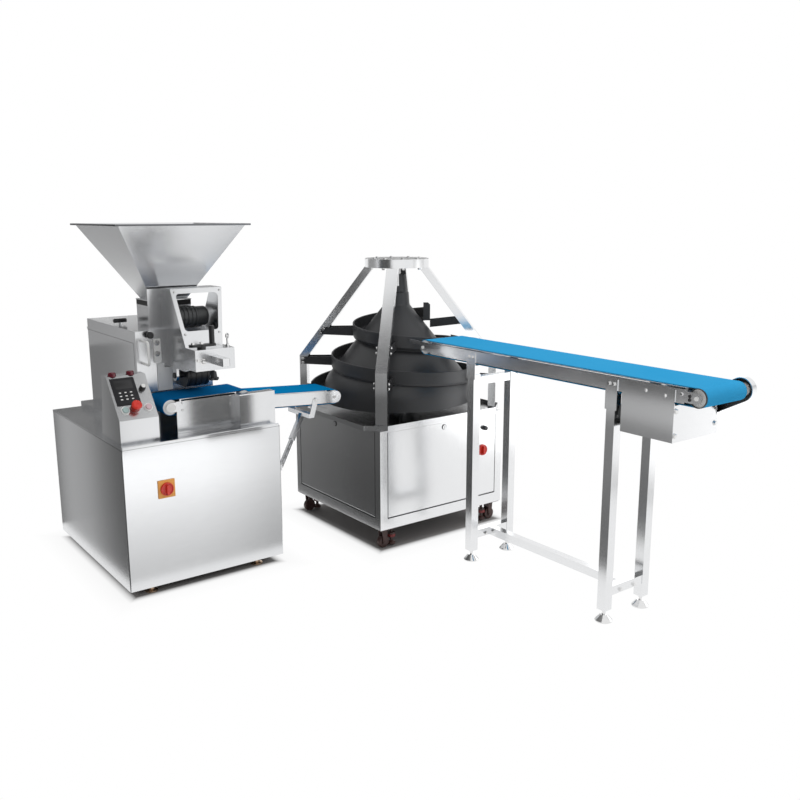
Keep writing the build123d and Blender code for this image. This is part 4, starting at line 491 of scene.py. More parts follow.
class Shaper:
    """A mesh piece made with bmesh operators, in the row frame."""

    ROUND_STEPS = 32
    WELD = 1e-6
    SHARP_EDGE = math.radians(35)
    WASHER_THICK = 1.6
    WASHER_STEPS = 24
    HEAD_SIDES = 6
    HEAD_SHOULDER = 0.8
    HEAD_CROWN = 0.82
    SCREW_HEIGHT = 0.55
    SCREW_STEPS = 16
    SCREW_OUTLINE = ((0, 0.45), (0.35, 0.45), (0.4, 1.0), (0.7, 0.9), (1.0, 0.35), (1.0, 0), (0, 0))

    def __init__(self, name: str, finishes: Finishes) -> None:
        """Start an empty mesh.

        Args:
            name: The piece's name.
            finishes: The finishes.
        """
        self.name = name
        self.finishes = finishes
        self.bm = bmesh.new()

    def block(self, low: Vector, high: Vector, bevel: float = 0.0) -> "Shaper":
        """Add a box.

        Args:
            low: Lowest corner.
            high: Highest corner.
            bevel: Edge radius in millimetres, or zero.

        Returns:
            This shaper.
        """
        made = bmesh.ops.create_cube(self.bm, size=1.0)["verts"]
        bmesh.ops.scale(self.bm, vec=high - low, verts=made)
        bmesh.ops.translate(self.bm, vec=(low + high) / 2, verts=made)
        if bevel > 0:
            edges = list(dict.fromkeys(edge for vert in made for edge in vert.link_edges))
            bmesh.ops.bevel(self.bm, geom=edges, offset=bevel * MM, offset_type="OFFSET", segments=2,
                            profile=0.5, affect="EDGES", material=-1)
        return self

    def turned(self, profile: Sequence[Pair], place: Vector, facing: Vector,
               steps: int = ROUND_STEPS) -> "Shaper":
        """Spin an (r, h) outline, in millimetres, about a direction.

        Args:
            profile: Outline points from the axis out and back.
            place: Where h is zero.
            facing: Direction of h.
            steps: Segments round.

        Returns:
            This shaper.
        """
        verts = [self.bm.verts.new((radius * MM, 0.0, height * MM)) for radius, height in profile]
        edges = [self.bm.edges.new(pair) for pair in zip(verts, verts[1:])]
        old = set(self.bm.verts) - set(verts)
        bmesh.ops.spin(self.bm, geom=verts + edges, cent=(0, 0, 0), axis=(0, 0, 1), dvec=(0, 0, 0),
                       angle=math.tau, steps=steps, use_merge=True, use_normal_flip=False,
                       use_duplicate=False)
        made = [vert for vert in self.bm.verts if vert not in old]
        bmesh.ops.remove_doubles(self.bm, verts=made, dist=self.WELD)
        made = [vert for vert in self.bm.verts if vert not in old]
        faces = list(dict.fromkeys(face for vert in made for face in vert.link_faces))
        bmesh.ops.recalc_face_normals(self.bm, faces=faces)
        bmesh.ops.transform(self.bm, matrix=Matrix.Translation(place) @ turn_to(facing), verts=made)
        return self

    def hexagon(self, bolt: Bolt, place: Vector, facing: Vector) -> "Shaper":
        """Add a bolt head with a chamfered crown, on its washer.

        Args:
            bolt: Its sizes.
            place: Middle of its seat.
            facing: Outward direction.

        Returns:
            This shaper.
        """
        radius, height, washer = bolt.value
        seat = 0.0
        if washer:
            seat = self.WASHER_THICK
            self.turned(((0, 0), (washer, 0), (washer, seat), (0, seat)), place, facing, self.WASHER_STEPS)
        shoulder, top = seat + height * self.HEAD_SHOULDER, seat + height
        crown = radius * self.HEAD_CROWN
        profile = ((0, seat), (radius, seat), (radius, shoulder), (crown, top), (0, top))
        return self.turned(profile, place, facing, self.HEAD_SIDES)

    def screw(self, radius: float, place: Vector, facing: Vector) -> "Shaper":
        """Add a domed screw head with a driver recess.

        Args:
            radius: Head radius in millimetres.
            place: Middle of its seat.
            facing: Outward direction.

        Returns:
            This shaper.
        """
        height = radius * self.SCREW_HEIGHT
        profile = [(radius * out, height * up) for out, up in self.SCREW_OUTLINE]
        return self.turned(profile, place, facing, self.SCREW_STEPS)

    def hull(self, places: Iterable[Vector], facing: Vector, radius: float, height: float) -> "Shaper":
        """Add a plate whose outline wraps discs at the given places.

        Args:
            places: Middles of the discs' seats.
            facing: Direction of the thickness.
            radius: Disc radius in millimetres.
            height: Thickness in millimetres.

        Returns:
            This shaper.
        """
        wide, deep = radius * MM, height * MM
        made: list[bmesh.types.BMVert] = []
        for place in places:
            matrix = Matrix.Translation(place + facing * (deep / 2)) @ turn_to(facing)
            made += bmesh.ops.create_cone(self.bm, cap_ends=True, segments=self.ROUND_STEPS, radius1=wide,
                                          radius2=wide, depth=deep, matrix=matrix)["verts"]
        faces = list(dict.fromkeys(face for vert in made for face in vert.link_faces))
        bmesh.ops.delete(self.bm, geom=faces, context="FACES_ONLY")
        left = [vert for vert in made if vert.is_valid]
        edges = list(dict.fromkeys(edge for vert in left for edge in vert.link_edges))
        bmesh.ops.delete(self.bm, geom=edges, context="EDGES_FACES")
        spare = bmesh.ops.convex_hull(self.bm, input=left)["geom_interior"]
        bmesh.ops.delete(self.bm, geom=[item for item in spare if isinstance(item, bmesh.types.BMVert)],
                         context="VERTS")
        return self

    def plate(self, outline: Iterable[Vector], thick: Vector) -> "Shaper":
        """Add a flat plate.

        Args:
            outline: Corners of one face, in order.
            thick: From that face to the other.

        Returns:
            This shaper.
        """
        face = self.bm.faces.new([self.bm.verts.new(corner) for corner in outline])
        grown = bmesh.ops.extrude_face_region(self.bm, geom=[face], use_keep_orig=True)["geom"]
        moved = [item for item in grown if isinstance(item, bmesh.types.BMVert)]
        bmesh.ops.translate(self.bm, vec=thick, verts=moved)
        bmesh.ops.recalc_face_normals(self.bm, faces=self.bm.faces[:])
        return self

    def finish(self, finish: str, body: str = ROOT) -> None:
        """Turn the mesh into an object that rides on a body.

        Args:
            finish: The name of its finish.
            body: The body that carries it.
        """
        mesh = bpy.data.meshes.new(self.name)
        self.bm.to_mesh(mesh)
        self.bm.free()
        mesh.materials.append(self.finishes[finish])
        mesh.shade_smooth()
        mesh.set_sharp_from_angle(angle=self.SHARP_EDGE)
        piece = bpy.data.objects.new(self.name, mesh)
        bpy.context.scene.collection.objects.link(piece)
        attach(piece, body)
        LOG.info("piece %s", self.name)


@dataclass
class Station:
    """A part of the line, with the finishes that its fittings take; sizes are in millimetres."""

    finishes: Finishes

    def piece(self, name: str) -> Shaper:
        """Start a piece."""
        return Shaper(name, self.finishes)


@dataclass
class Console(Station):
    """The sloping control console: panel, lamps and control collars."""

    left: float = 18.0
    front: float = 48.0
    low: float = 825.0
    run: float = 142.0
    rise: float = 177.0
    panel_low: Pair = (11.0, 74.0)
    panel_size: Pair = (110.0, 141.0)
    panel_top: float = 1.6
    panel_bevel: float = 0.6
    window_low: Pair = (14.0, 84.0)
    window_length: float = 44.0
    window_top: float = 2.2
    window_bevel: float = 0.5
    key_rows: int = 3
    key_columns: int = 3
    first_key: Pair = (24.0, 28.0)
    key_pitch: Pair = (25.0, 17.0)
    key_size: Pair = (10.0, 5.0)
    key_top: float = 2.8
    key_bevel: float = 0.8
    lamps: Pairs = ((31.6, 226.0), (114.7, 226.0))
    lamp_back: float = 12.0
    lamp_profile: Pairs = ((0, 0), (19, 0), (19, 4), (17.5, 5), (17.5, 14), (13, 18), (0, 19))
    buttons: Pairs = ((40.0, 49.0), (146.0, 52.0))
    button_profile: Pairs = ((14.6, 0), (20, 0), (20, 3), (18.5, 5), (14.6, 5), (14.6, 0))
    emergency_stop: Pair = (86.0, 55.0)
    emergency_profile: Pairs = ((8.6, 0), (21.5, 0), (21.5, 5), (20, 11), (16.5, 16.5), (12, 19), (8.6, 19),
                                (8.6, 0))
    speed_knob: Pair = (145.0, 150.0)
    cap_profile: Pairs = ((0, 26), (9.6, 26), (9.2, 27.2), (0, 27.4))

    def on_slope(self, u: float, v: float) -> Vector:
        """A point on the slope.

        Args:
            u: Distance to the right.
            v: Distance up the slope.

        Returns:
            The point in metres.
        """
        length = math.hypot(self.run, self.rise)
        up = Vector((0, self.run / length, self.rise / length))
        spot = Vector((self.left + u, self.front, self.low)) + up * v
        return at(*spot)

    def normal(self) -> Vector:
        """The slope's outward direction."""
        return Vector((0, -self.rise, self.run)).normalized()

    def lay(self, shaper: Shaper, corner: Pair, size: Pair, heights: Pair, bevel: float) -> None:
        """Add a plate that lies on the slope.

        Args:
            shaper: The piece it joins.
            corner: Lower left corner on the slope.
            size: Width and length on the slope.
            heights: Underside and top of the plate off the slope.
            bevel: Edge radius.
        """
        old = set(shaper.bm.verts)
        low = Vector((*corner, heights[0]))
        high = Vector((corner[0] + size[0], corner[1] + size[1], heights[1]))
        shaper.block(low * MM, high * MM, bevel)
        made = [vert for vert in shaper.bm.verts if vert not in old]
        normal = self.normal()
        side = Facing.RIGHT.way
        turn = Matrix((side, normal.cross(side), normal)).transposed().to_4x4()
        bmesh.ops.transform(shaper.bm, matrix=Matrix.Translation(self.on_slope(0, 0)) @ turn, verts=made)

    def keypad(self) -> None:
        """Make the panel with its window and keys."""
        (u, v), (wide, _), (inset, window_v) = self.panel_low, self.panel_size, self.window_low
        panel = self.piece("keypad_panel")
        self.lay(panel, self.panel_low, self.panel_size, (0, self.panel_top), self.panel_bevel)
        panel.finish("panel_black")
        window = self.piece("keypad_window")
        self.lay(window, (u + inset, v + window_v), (wide - 2 * inset, self.window_length),
                 (self.panel_top, self.window_top), self.window_bevel)
        window.finish("black_plastic")
        keys = self.piece("keypad_keys")
        for row in range(self.key_rows):
            for column in range(self.key_columns):
                corner = (u + self.first_key[0] + column * self.key_pitch[0],
                          v + self.first_key[1] + row * self.key_pitch[1])
                self.lay(keys, corner, self.key_size, (self.panel_top, self.key_top), self.key_bevel)
        keys.finish("white_plastic")

    def build(self) -> None:
        """Make the keypad, the lamps, the collars and the knob's cap."""
        self.keypad()
        normal = self.normal()
        lamps = self.piece("console_lamps")
        for lamp in self.lamps:
            spot = self.on_slope(*lamp) + Vector((0, self.lamp_back * MM, 0))
            lamps.turned(self.lamp_profile, spot, Facing.UP.way)
        lamps.finish("wine_plastic")
        collars = self.piece("button_collars")
        for button in self.buttons:
            collars.turned(self.button_profile, self.on_slope(*button), normal)
        collars.finish("white_plastic")
        collar = self.piece("emergency_collar")
        collar.turned(self.emergency_profile, self.on_slope(*self.emergency_stop), normal)
        collar.finish("glossy_red_plastic")
        cap = self.piece("speed_knob_cap")
        cap.turned(self.cap_profile, self.on_slope(*self.speed_knob), normal)
        cap.finish("white_plastic", "console_speed")


@dataclass
class DividerHead(Station):
    """Plates, seams and fasteners on the divider's cabinet, housing, hopper and head."""

    switch: Pair = (194.0, 498.0)
    plate_half: Pair = (40.0, 42.0)
    plate_thick: float = 6.0
    plate_bevel: float = 2.0
    disc_profile: Pairs = ((25.2, 6.5), (31, 6.5), (31, 12), (29, 16), (25.2, 16), (25.2, 6.5))
    rim_low: Pair = (104.0, 178.5)
    rim_high: Pair = (754.0, 811.5)
    rim_top: float = 1672.0
    bead: float = 4.0
    bead_depth: float = 8.0
    bead_over: float = 0.5
    bead_bevel: float = 1.2
    seam_boxes: tuple[tuple[Triple, Triple], ...] = (
        ((0, -0.4, 703.4), (785, 0.2, 704.6)), ((-0.4, 0, 703.4), (0.2, 1032, 704.6)),
        ((209.6, 345, 1120.4), (210.2, 1015, 1121.6)), ((209.6, 345, 960), (210.2, 346.4, 1120.4)))
    guard_low: Pair = (103.0, 1113.0)
    guard_high: Pair = (252.0, 1372.0)
    guard_screws: Pairs = ((383, 1358), (611, 1358), (381, 1170), (552, 1170))
    guard_screw_radius: float = 6.0
    bolts: tuple[tuple[Bolt, Triple], ...] = (
        (Bolt.WALL, (308, 306, 1068)), (Bolt.WALL, (308, 306, 1120)),
        (Bolt.BEAM, (403, 0, 1061)), (Bolt.SMALL, (377, 0, 1066)))
    crank: Triple = (412.0, 34.0, 1135.3)
    link: Triple = (370.0, 34.0, 1135.3)
    eye_foot: Triple = (553.0, 58.0, 1113.0)
    eye_shank: Pairs = ((0, 7), (4, 7), (4, 38), (0, 38))
    eye_radii: Pair = (10.0, 3.6)
    eye_sides: int = 10
    eye_height: float = 47.0
    eye_axis: Triple = (0.55, -0.83, 0.0)
    sleeve_start: Triple = (224.0, 640.0, 1198.0)
    sleeve_profile: Pairs = ((0, -1), (9, -1), (10.5, 2), (10.5, 60), (9, 63), (0, 63))

    def main_switch(self) -> None:
        """Make the main switch's plate and disc."""
        (x, z), (wide, high) = self.switch, self.plate_half
        plate = self.piece("main_switch_plate")
        plate.block(at(x - wide, -self.plate_thick, z - high), at(x + wide, 0, z + high), self.plate_bevel)
        plate.finish("orange_plastic")
        disc = self.piece("main_switch_disc")
        disc.turned(self.disc_profile, at(x, 0, z), Facing.FRONT.way)
        disc.finish("red_plastic", "main_switch")

    def rim(self) -> None:
        """Roll a bead round the hopper's rim, dark in the shaded steel: painted shade along the rim."""
        bead = self.piece("hopper_rim_bead")
        (x0, y0), (x1, y1), wide = self.rim_low, self.rim_high, self.bead
        bottom, top = self.rim_top - self.bead_depth, self.rim_top + self.bead_over
        for low, high in (((x0 - wide, y0 - wide), (x1 + wide, y0)),
                          ((x0 - wide, y1), (x1 + wide, y1 + wide)),
                          ((x0 - wide, y0), (x0, y1)), ((x1, y0), (x1 + wide, y1))):
            bead.block(at(*low, bottom), at(*high, top), self.bead_bevel)
        bead.finish("shaded_steel")

    def seams(self) -> None:
        """Draw the dark joints of the deck and of the drive housing's cover."""
        seams = self.piece("sheet_seams")
        for low, high in self.seam_boxes:
            seams.block(at(*low), at(*high))
        seams.finish("black_rubber")

    def head_bolts(self) -> None:
        """Put bolts on the head's walls and its crank, and screws on its sloping window frame."""
        bolts = self.piece("head_bolts")
        for bolt, spot in self.bolts:
            bolts.hexagon(bolt, at(*spot), Facing.FRONT.way)
        (y0, z0), (y1, z1) = self.guard_low, self.guard_high
        slope = Vector((0, z0 - z1, y1 - y0)).normalized()
        for x, z in self.guard_screws:
            spot = at(x, y0 + (y1 - y0) * (z - z0) / (z1 - z0), z)
            bolts.screw(self.guard_screw_radius, spot, slope)
        bolts.finish("polished_steel")
        nuts = self.piece("crank_bolts")
        nuts.hexagon(Bolt.CRANK, at(*self.crank), Facing.UP.way)
        nuts.hexagon(Bolt.LINK, at(*self.link), Facing.UP.way)
        nuts.finish("polished_steel", "weight_crank")

    def eye_bolt(self) -> None:
        """Stand the eye bolt on the yoke."""
        eye = self.piece("eye_bolt")
        foot = at(*self.eye_foot)
        eye.hexagon(Bolt.EYE, foot, Facing.UP.way)
        eye.turned(self.eye_shank, foot, Facing.UP.way)
        wide, thin = self.eye_radii
        turns = [math.tau * step / self.eye_sides for step in range(self.eye_sides + 1)]
        ring = [(wide + thin * math.cos(turn), thin * math.sin(turn)) for turn in turns]
        eye.turned(ring, foot + Vector((0, 0, self.eye_height * MM)), Vector(self.eye_axis))
        eye.finish("polished_steel")

    def build(self) -> None:
        """Make the switch, the rim, the seams, the bolts and the lid handle's sleeve."""
        for make in (self.main_switch, self.rim, self.seams, self.head_bolts, self.eye_bolt):
            make()
        sleeve = self.piece("lid_handle_sleeve")
        sleeve.turned(self.sleeve_profile, at(*self.sleeve_start), Facing.RIGHT.way)
        sleeve.finish("black_plastic", "housing_lid")


@dataclass
class ShortBelts(Station):
    """Covers and screws on the discharge belt and the transfer belt."""

    panel_front: float = 99.0
    rail_front: float = 102.0
    tail: Pairs = ((272.0, 844.0), (282.0, 844.0))
    tail_radius: float = 18.5
    tail_thick: float = 3.0
    nose: Pairs = ((1166.0, 784.0), (1147.0, 785.2))
    nose_radius: float = 29.5
    nose_thick: float = 1.2
    screw_columns: Pair = (332.0, 574.0)
    screw_rows: Pair = (826.0, 861.0)
    screw_radius: float = 5.5
    hanger_bolt: Triple = (1054.0, 98.0, 782.0)

    def build(self) -> None:
        """Make the end covers and the screws."""
        front = Facing.FRONT.way
        covers = self.piece("belt_end_covers")
        ends = [at(x, self.panel_front, z) for x, z in self.tail]
        covers.hull(ends, front, self.tail_radius, self.tail_thick)
        covers.finish("white_plastic")
        nose = self.piece("transfer_nose_cover")
        nose.hull([at(x, self.rail_front, z) for x, z in self.nose], front, self.nose_radius, self.nose_thick)
        # The nose cover takes the lit copy of the stainless: painted light.
        nose.finish("lit_stainless")
        screws = self.piece("belt_screws")
        for z in self.screw_rows:
            for x in self.screw_columns:
                screws.screw(self.screw_radius, at(x, self.panel_front, z), front)
        screws.hexagon(Bolt.FRAME, at(*self.hanger_bolt), front)
        screws.finish("polished_steel")


@dataclass
class RounderFittings(Station):
    """Bolts, seals, rings, the upper track arm and the top ring's hanger on the rounder."""

    centre: Pair = (1672.0, 232.0)
    half: float = 420.0
    door_half: float = 371.0
    door_low: float = 171.0
    door_high: float = 628.0
    seal: float = 3.0
    seal_out: float = 0.8
    seal_in: float = 0.2
    lock_drop: float = 24.0
    lock_profile: Pairs = ((12.2, 0), (14.6, 0), (14.2, 3), (12.2, 3), (12.2, 0))
    track_rim: float = 1215.0
    track_drop: float = 170.0
    track_angle: float = -36.6
    track_turns: float = 2.5
    arm_drop: float = 60.0
    arm_face: float = 36.0
    arm_thick: float = 6.0
    arm_bolt_spread: float = 12.0
    upper_arm: Pairs = ((182, 1096), (389, 1122), (358, 1164), (182, 1143))
    upper_angle: float = 315.0
    upper_bolts: Pair = (1131.0, 1155.0)
    post_angles: tuple[float, ...] = (45.0, 135.0, 225.0, 315.0)
    post_radius: float = 535.0
    post_top_radius: float = 150.0
    post_bend: float = 925.0
    ring_low: float = 1432.0
    ring_top: float = 1478.0
    ring_bolt_count: int = 8
    ring_bolt_radii: Pair = (142.0, 128.0)
    hanger_angle: float = 233.0
    hanger_radii: Pair = (112.0, 116.0)
    hanger_sides: Pair = (-12.0, 6.0)
    hanger_low: float = 1335.0
    switch: Pair = (1948.0, 433.0)
    disc_profile: Pairs = ((25.2, 1), (31, 1), (31, 6), (29, 10), (25.2, 10), (25.2, 1))
    caster_inset: float = 48.0
    pad_offset: float = 54.0
    thumb_z: float = 56.0
    thumb_steps: int = 20
    thumb_profile: Pairs = ((19.5, -7), (21.5, -7), (22, -4), (22, 4), (21.5, 7), (19.5, 7), (19.5, -7))

    def round_point(self, angle: float, radius: float, aside: float, z: float) -> Vector:
        """A point round the cone's axis.

        Args:
            angle: Degrees from +X.
            radius: Distance out.
            aside: Distance across that radius.
            z: Height.

        Returns:
            The point in metres.
        """
        out = Vector((math.cos(math.radians(angle)), math.sin(math.radians(angle)), 0))
        spot = out * radius + Vector((-out.y, out.x, 0)) * aside
        return at(self.centre[0] + spot.x, self.centre[1] + spot.y, z)

    def post_at(self, z: float) -> float:
        """Distance of the posts' middle from the axis at a height."""
        share = max(0.0, (z - self.post_bend) / (self.ring_low - self.post_bend))
        return self.post_radius + (self.post_top_radius - self.post_radius) * share

    def arm_bolts(self) -> None:
        """Put two bolts through each arm plate beside its post."""
        bolts = self.piece("arm_bolts")
        for angle in self.post_angles:
            turn = ((angle - self.track_angle) % 360) / 360
            while turn < self.track_turns:
                middle = self.track_rim - self.track_drop * turn - self.arm_drop
                for side in (-1, 1):
                    across = math.radians(angle + 90 * side)
                    facing = Vector((math.cos(across), math.sin(across), 0))
                    for z in (middle - self.arm_bolt_spread, middle + self.arm_bolt_spread):
                        spot = self.round_point(angle, self.post_at(z), side * self.arm_face, z)
                        bolts.hexagon(Bolt.ARM, spot, facing)
                turn += 1
        bolts.finish("polished_steel")

    def highest_arm(self) -> None:
        """Join the track's upper end to the right front post, with two bolts."""
        angle, outer, inner = self.upper_angle, self.arm_face, self.arm_face - self.arm_thick
        outline = [self.round_point(angle, radius, inner, z) for radius, z in self.upper_arm]
        thick = self.round_point(angle, 0, outer, 0) - self.round_point(angle, 0, inner, 0)
        self.piece("upper_arm").plate(outline, thick).finish("black_paint")
        bolts = self.piece("upper_arm_bolts")
        for z in self.upper_bolts:
            bolts.hexagon(Bolt.ARM, self.round_point(angle, self.post_at(z), outer, z), thick.normalized())
        bolts.finish("polished_steel")

    def lock_rings(self) -> None:
        """Put a dark ring round the lock of each door."""
        z = self.door_high - self.lock_drop
        cx, cy = self.centre
        for body, spot, facing in (("front_door", at(cx, cy - self.half, z), Facing.FRONT),
                                   ("side_door", at(cx - self.half, cy, z), Facing.LEFT)):
            ring = self.piece(body + "_lock_ring").turned(self.lock_profile, spot, facing.way)
            ring.finish("black_plastic", body)

    def hanger(self) -> None:
        """Hang the pale strip under the ring beside the front post."""
        (left, right), (inner, outer), angle = self.hanger_sides, self.hanger_radii, self.hanger_angle
        low, high = self.hanger_low, self.ring_low
        corners = ((left, low), (right, low), (right, high), (left, high))
        outline = [self.round_point(angle, inner, -aside, z) for aside, z in corners]
        thick = self.round_point(angle, outer, 0, 0) - self.round_point(angle, inner, 0, 0)
        # The hanger takes the lit copy of the stainless: painted light.
        self.piece("ring_hanger").plate(outline, thick).finish("lit_stainless")

    def switch_disc(self) -> None:
        """Put the red disc round the rounder's switch."""
        spot = at(self.switch[0], self.centre[1] - self.half, self.switch[1])
        disc = self.piece("rounder_switch_disc").turned(self.disc_profile, spot, Facing.FRONT.way)
        disc.finish("red_plastic", "rounder_switch")

    def ring_bolts(self) -> None:
        """Put bolts under the top ring and heads on it."""
        bolts = self.piece("ring_bolts")
        below, above = self.ring_bolt_radii
        for index in range(self.ring_bolt_count):
            angle = 360 * (index + 0.5) / self.ring_bolt_count
            bolts.hexagon(Bolt.RING, self.round_point(angle, below, 0, self.ring_low), Facing.DOWN.way)
            bolts.hexagon(Bolt.FRAME, self.round_point(angle, above, 0, self.ring_top), Facing.UP.way)
        bolts.finish("polished_steel")

    def door_seals(self) -> None:
        """Frame the front and side doors with a thin dark seal."""
        seals = self.piece("door_seals")
        inner, outer = self.door_half, self.door_half + self.seal
        low, high = self.door_low - self.seal, self.door_high
        bars = ((-outer, -inner, low, high), (inner, outer, low, high), (-inner, inner, low, low + self.seal))
        cx, cy = self.centre
        front, left = cy - self.half, cx - self.half
        for u0, u1, z0, z1 in bars:
            seals.block(at(cx + u0, front - self.seal_out, z0), at(cx + u1, front + self.seal_in, z1))
            seals.block(at(left - self.seal_out, cy + u0, z0), at(left + self.seal_in, cy + u1, z1))
        seals.finish("black_rubber")

    def thumb_wheels(self) -> None:
        """Put a red ring round each levelling screw's wheel."""
        rings = self.piece("thumb_rings")
        reach = self.half - self.caster_inset
        cx, cy = self.centre
        for sx in (-1, 1):
            for sy in (-1, 1):
                spot = at(cx + sx * (reach - self.pad_offset), cy + sy * reach, self.thumb_z)
                rings.turned(self.thumb_profile, spot, Facing.UP.way, self.thumb_steps)
        rings.finish("dark_red_plastic")

    def build(self) -> None:
        """Make all of the rounder's fittings."""
        for make in (self.arm_bolts, self.highest_arm, self.lock_rings, self.hanger, self.switch_disc,
                     self.ring_bolts, self.door_seals, self.thumb_wheels):
            make()


@dataclass
class OutfeedFittings(Station):
    """Bolts, screws, the roller's ring and a black sheet of painted shade inside the chain guard, on the
    outfeed conveyor.
    """

    middle: float = 1683.0
    bracket_face: float = 146.0
    bracket_height: float = 1040.0
    bracket_spread: float = 12.0
    rail_face: float = 142.0
    rail_bolt: Pair = (-1735.0, 1050.0)
    box_face: float = 145.0
    box_screws: Pairs = ((-1574, 1040), (-1664, 1034))
    screw_radius: float = 7.0
    box_front: float = -1708.0
    box_bolts: Pairs = ((1550, 977), (1550, 880), (1812, 895))
    legs: Pair = (-1405.0, -546.0)
    leg_half: float = 19.0
    leg_bolts: Pair = (-45.0, 45.0)
    leg_bolt_height: float = 128.0
    bearing_y: float = -1771.0
    bearing_rows: Pair = (1033.0, 1047.0)
    head: Pair = (-1800.0, 1042.0)
    motor: Pair = (-1590.0, 928.0)
    ring_x: float = 1549.0
    ring_profile: Pairs = ((35.1, 0), (37.8, 0), (37.8, 6), (35.1, 6), (35.1, 0))
    shade_sheet_x: float = 1852.8
    shade_sheet_radius: float = 46.5
    shade_sheet_thick: float = 1.8

    def frame_bolts(self) -> None:
        """Put bolts and screws on the brackets, rails, drive box and legs."""
        bolts = self.piece("outfeed_bolts")
        for side, facing in ((-1, Facing.LEFT.way), (1, Facing.RIGHT.way)):
            bracket_x = self.middle + side * self.bracket_face
            for leg in self.legs:
                for y in (leg + self.bracket_spread, leg - self.bracket_spread):
                    bolts.hexagon(Bolt.FRAME, at(bracket_x, y, self.bracket_height), facing)
            bolts.hexagon(Bolt.RAIL, at(self.middle + side * self.rail_face, *self.rail_bolt), facing)
        for y, z in self.box_screws:
            bolts.screw(self.screw_radius, at(self.middle - self.box_face, y, z), Facing.LEFT.way)
        for x, z in self.box_bolts:
            bolts.hexagon(Bolt.BOX, at(x, self.box_front, z), Facing.FRONT.way)
        for leg in self.legs:
            for aside in self.leg_bolts:
                spot = at(self.middle + aside, leg - self.leg_half, self.leg_bolt_height)
                bolts.hexagon(Bolt.LEG, spot, Facing.FRONT.way)
        bolts.finish("polished_steel")

    def build(self) -> None:
        """Make the bolts, the bearing screws, the roller's ring and the sheet of painted shade."""
        self.frame_bolts()
        right = Facing.RIGHT.way
        screws = self.piece("bearing_screws")
        for z in self.bearing_rows:
            spot = at(self.middle - self.rail_face, self.bearing_y, z)
            screws.screw(self.screw_radius, spot, Facing.LEFT.way)
        screws.finish("black_plastic")
        ring = self.piece("head_roller_ring").turned(self.ring_profile, at(self.ring_x, *self.head), right)
        ring.finish("black_rubber", "outfeed_head")
        # A black sheet inside the open chain guard stands for the shade in its hollow: painted shade.
        ends = [at(self.shade_sheet_x, *end) for end in (self.head, self.motor)]
        shade_sheet = self.piece("chain_guard_shade_sheet").hull(ends, right, self.shade_sheet_radius, self.shade_sheet_thick)
        shade_sheet.finish("black_paint")


@dataclass(frozen=True)
class Card:
    """A studio flat, graded along its edges, that only reflections show and only from its front.

    Args:
        name: Object name.
        corner: First corner, in millimetres from the divider's corner.
        along: First edge.
        rise: Second edge; the front is where the first edge crossed with this one points.
        levels: Places along the first edge, in millimetres from the corner, and levels there.
        tints: Places along the second edge and factors there, or nothing.
    """

    name: str
    corner: Triple
    along: Triple
    rise: Triple
    levels: Pairs
    tints: Pairs = ()


@dataclass(frozen=True)
class Lamp:
    """A square soft lamp that reflections don't show, with its side in metres and its power in watts."""

    name: str
    place: Triple
    side: float
    power: float


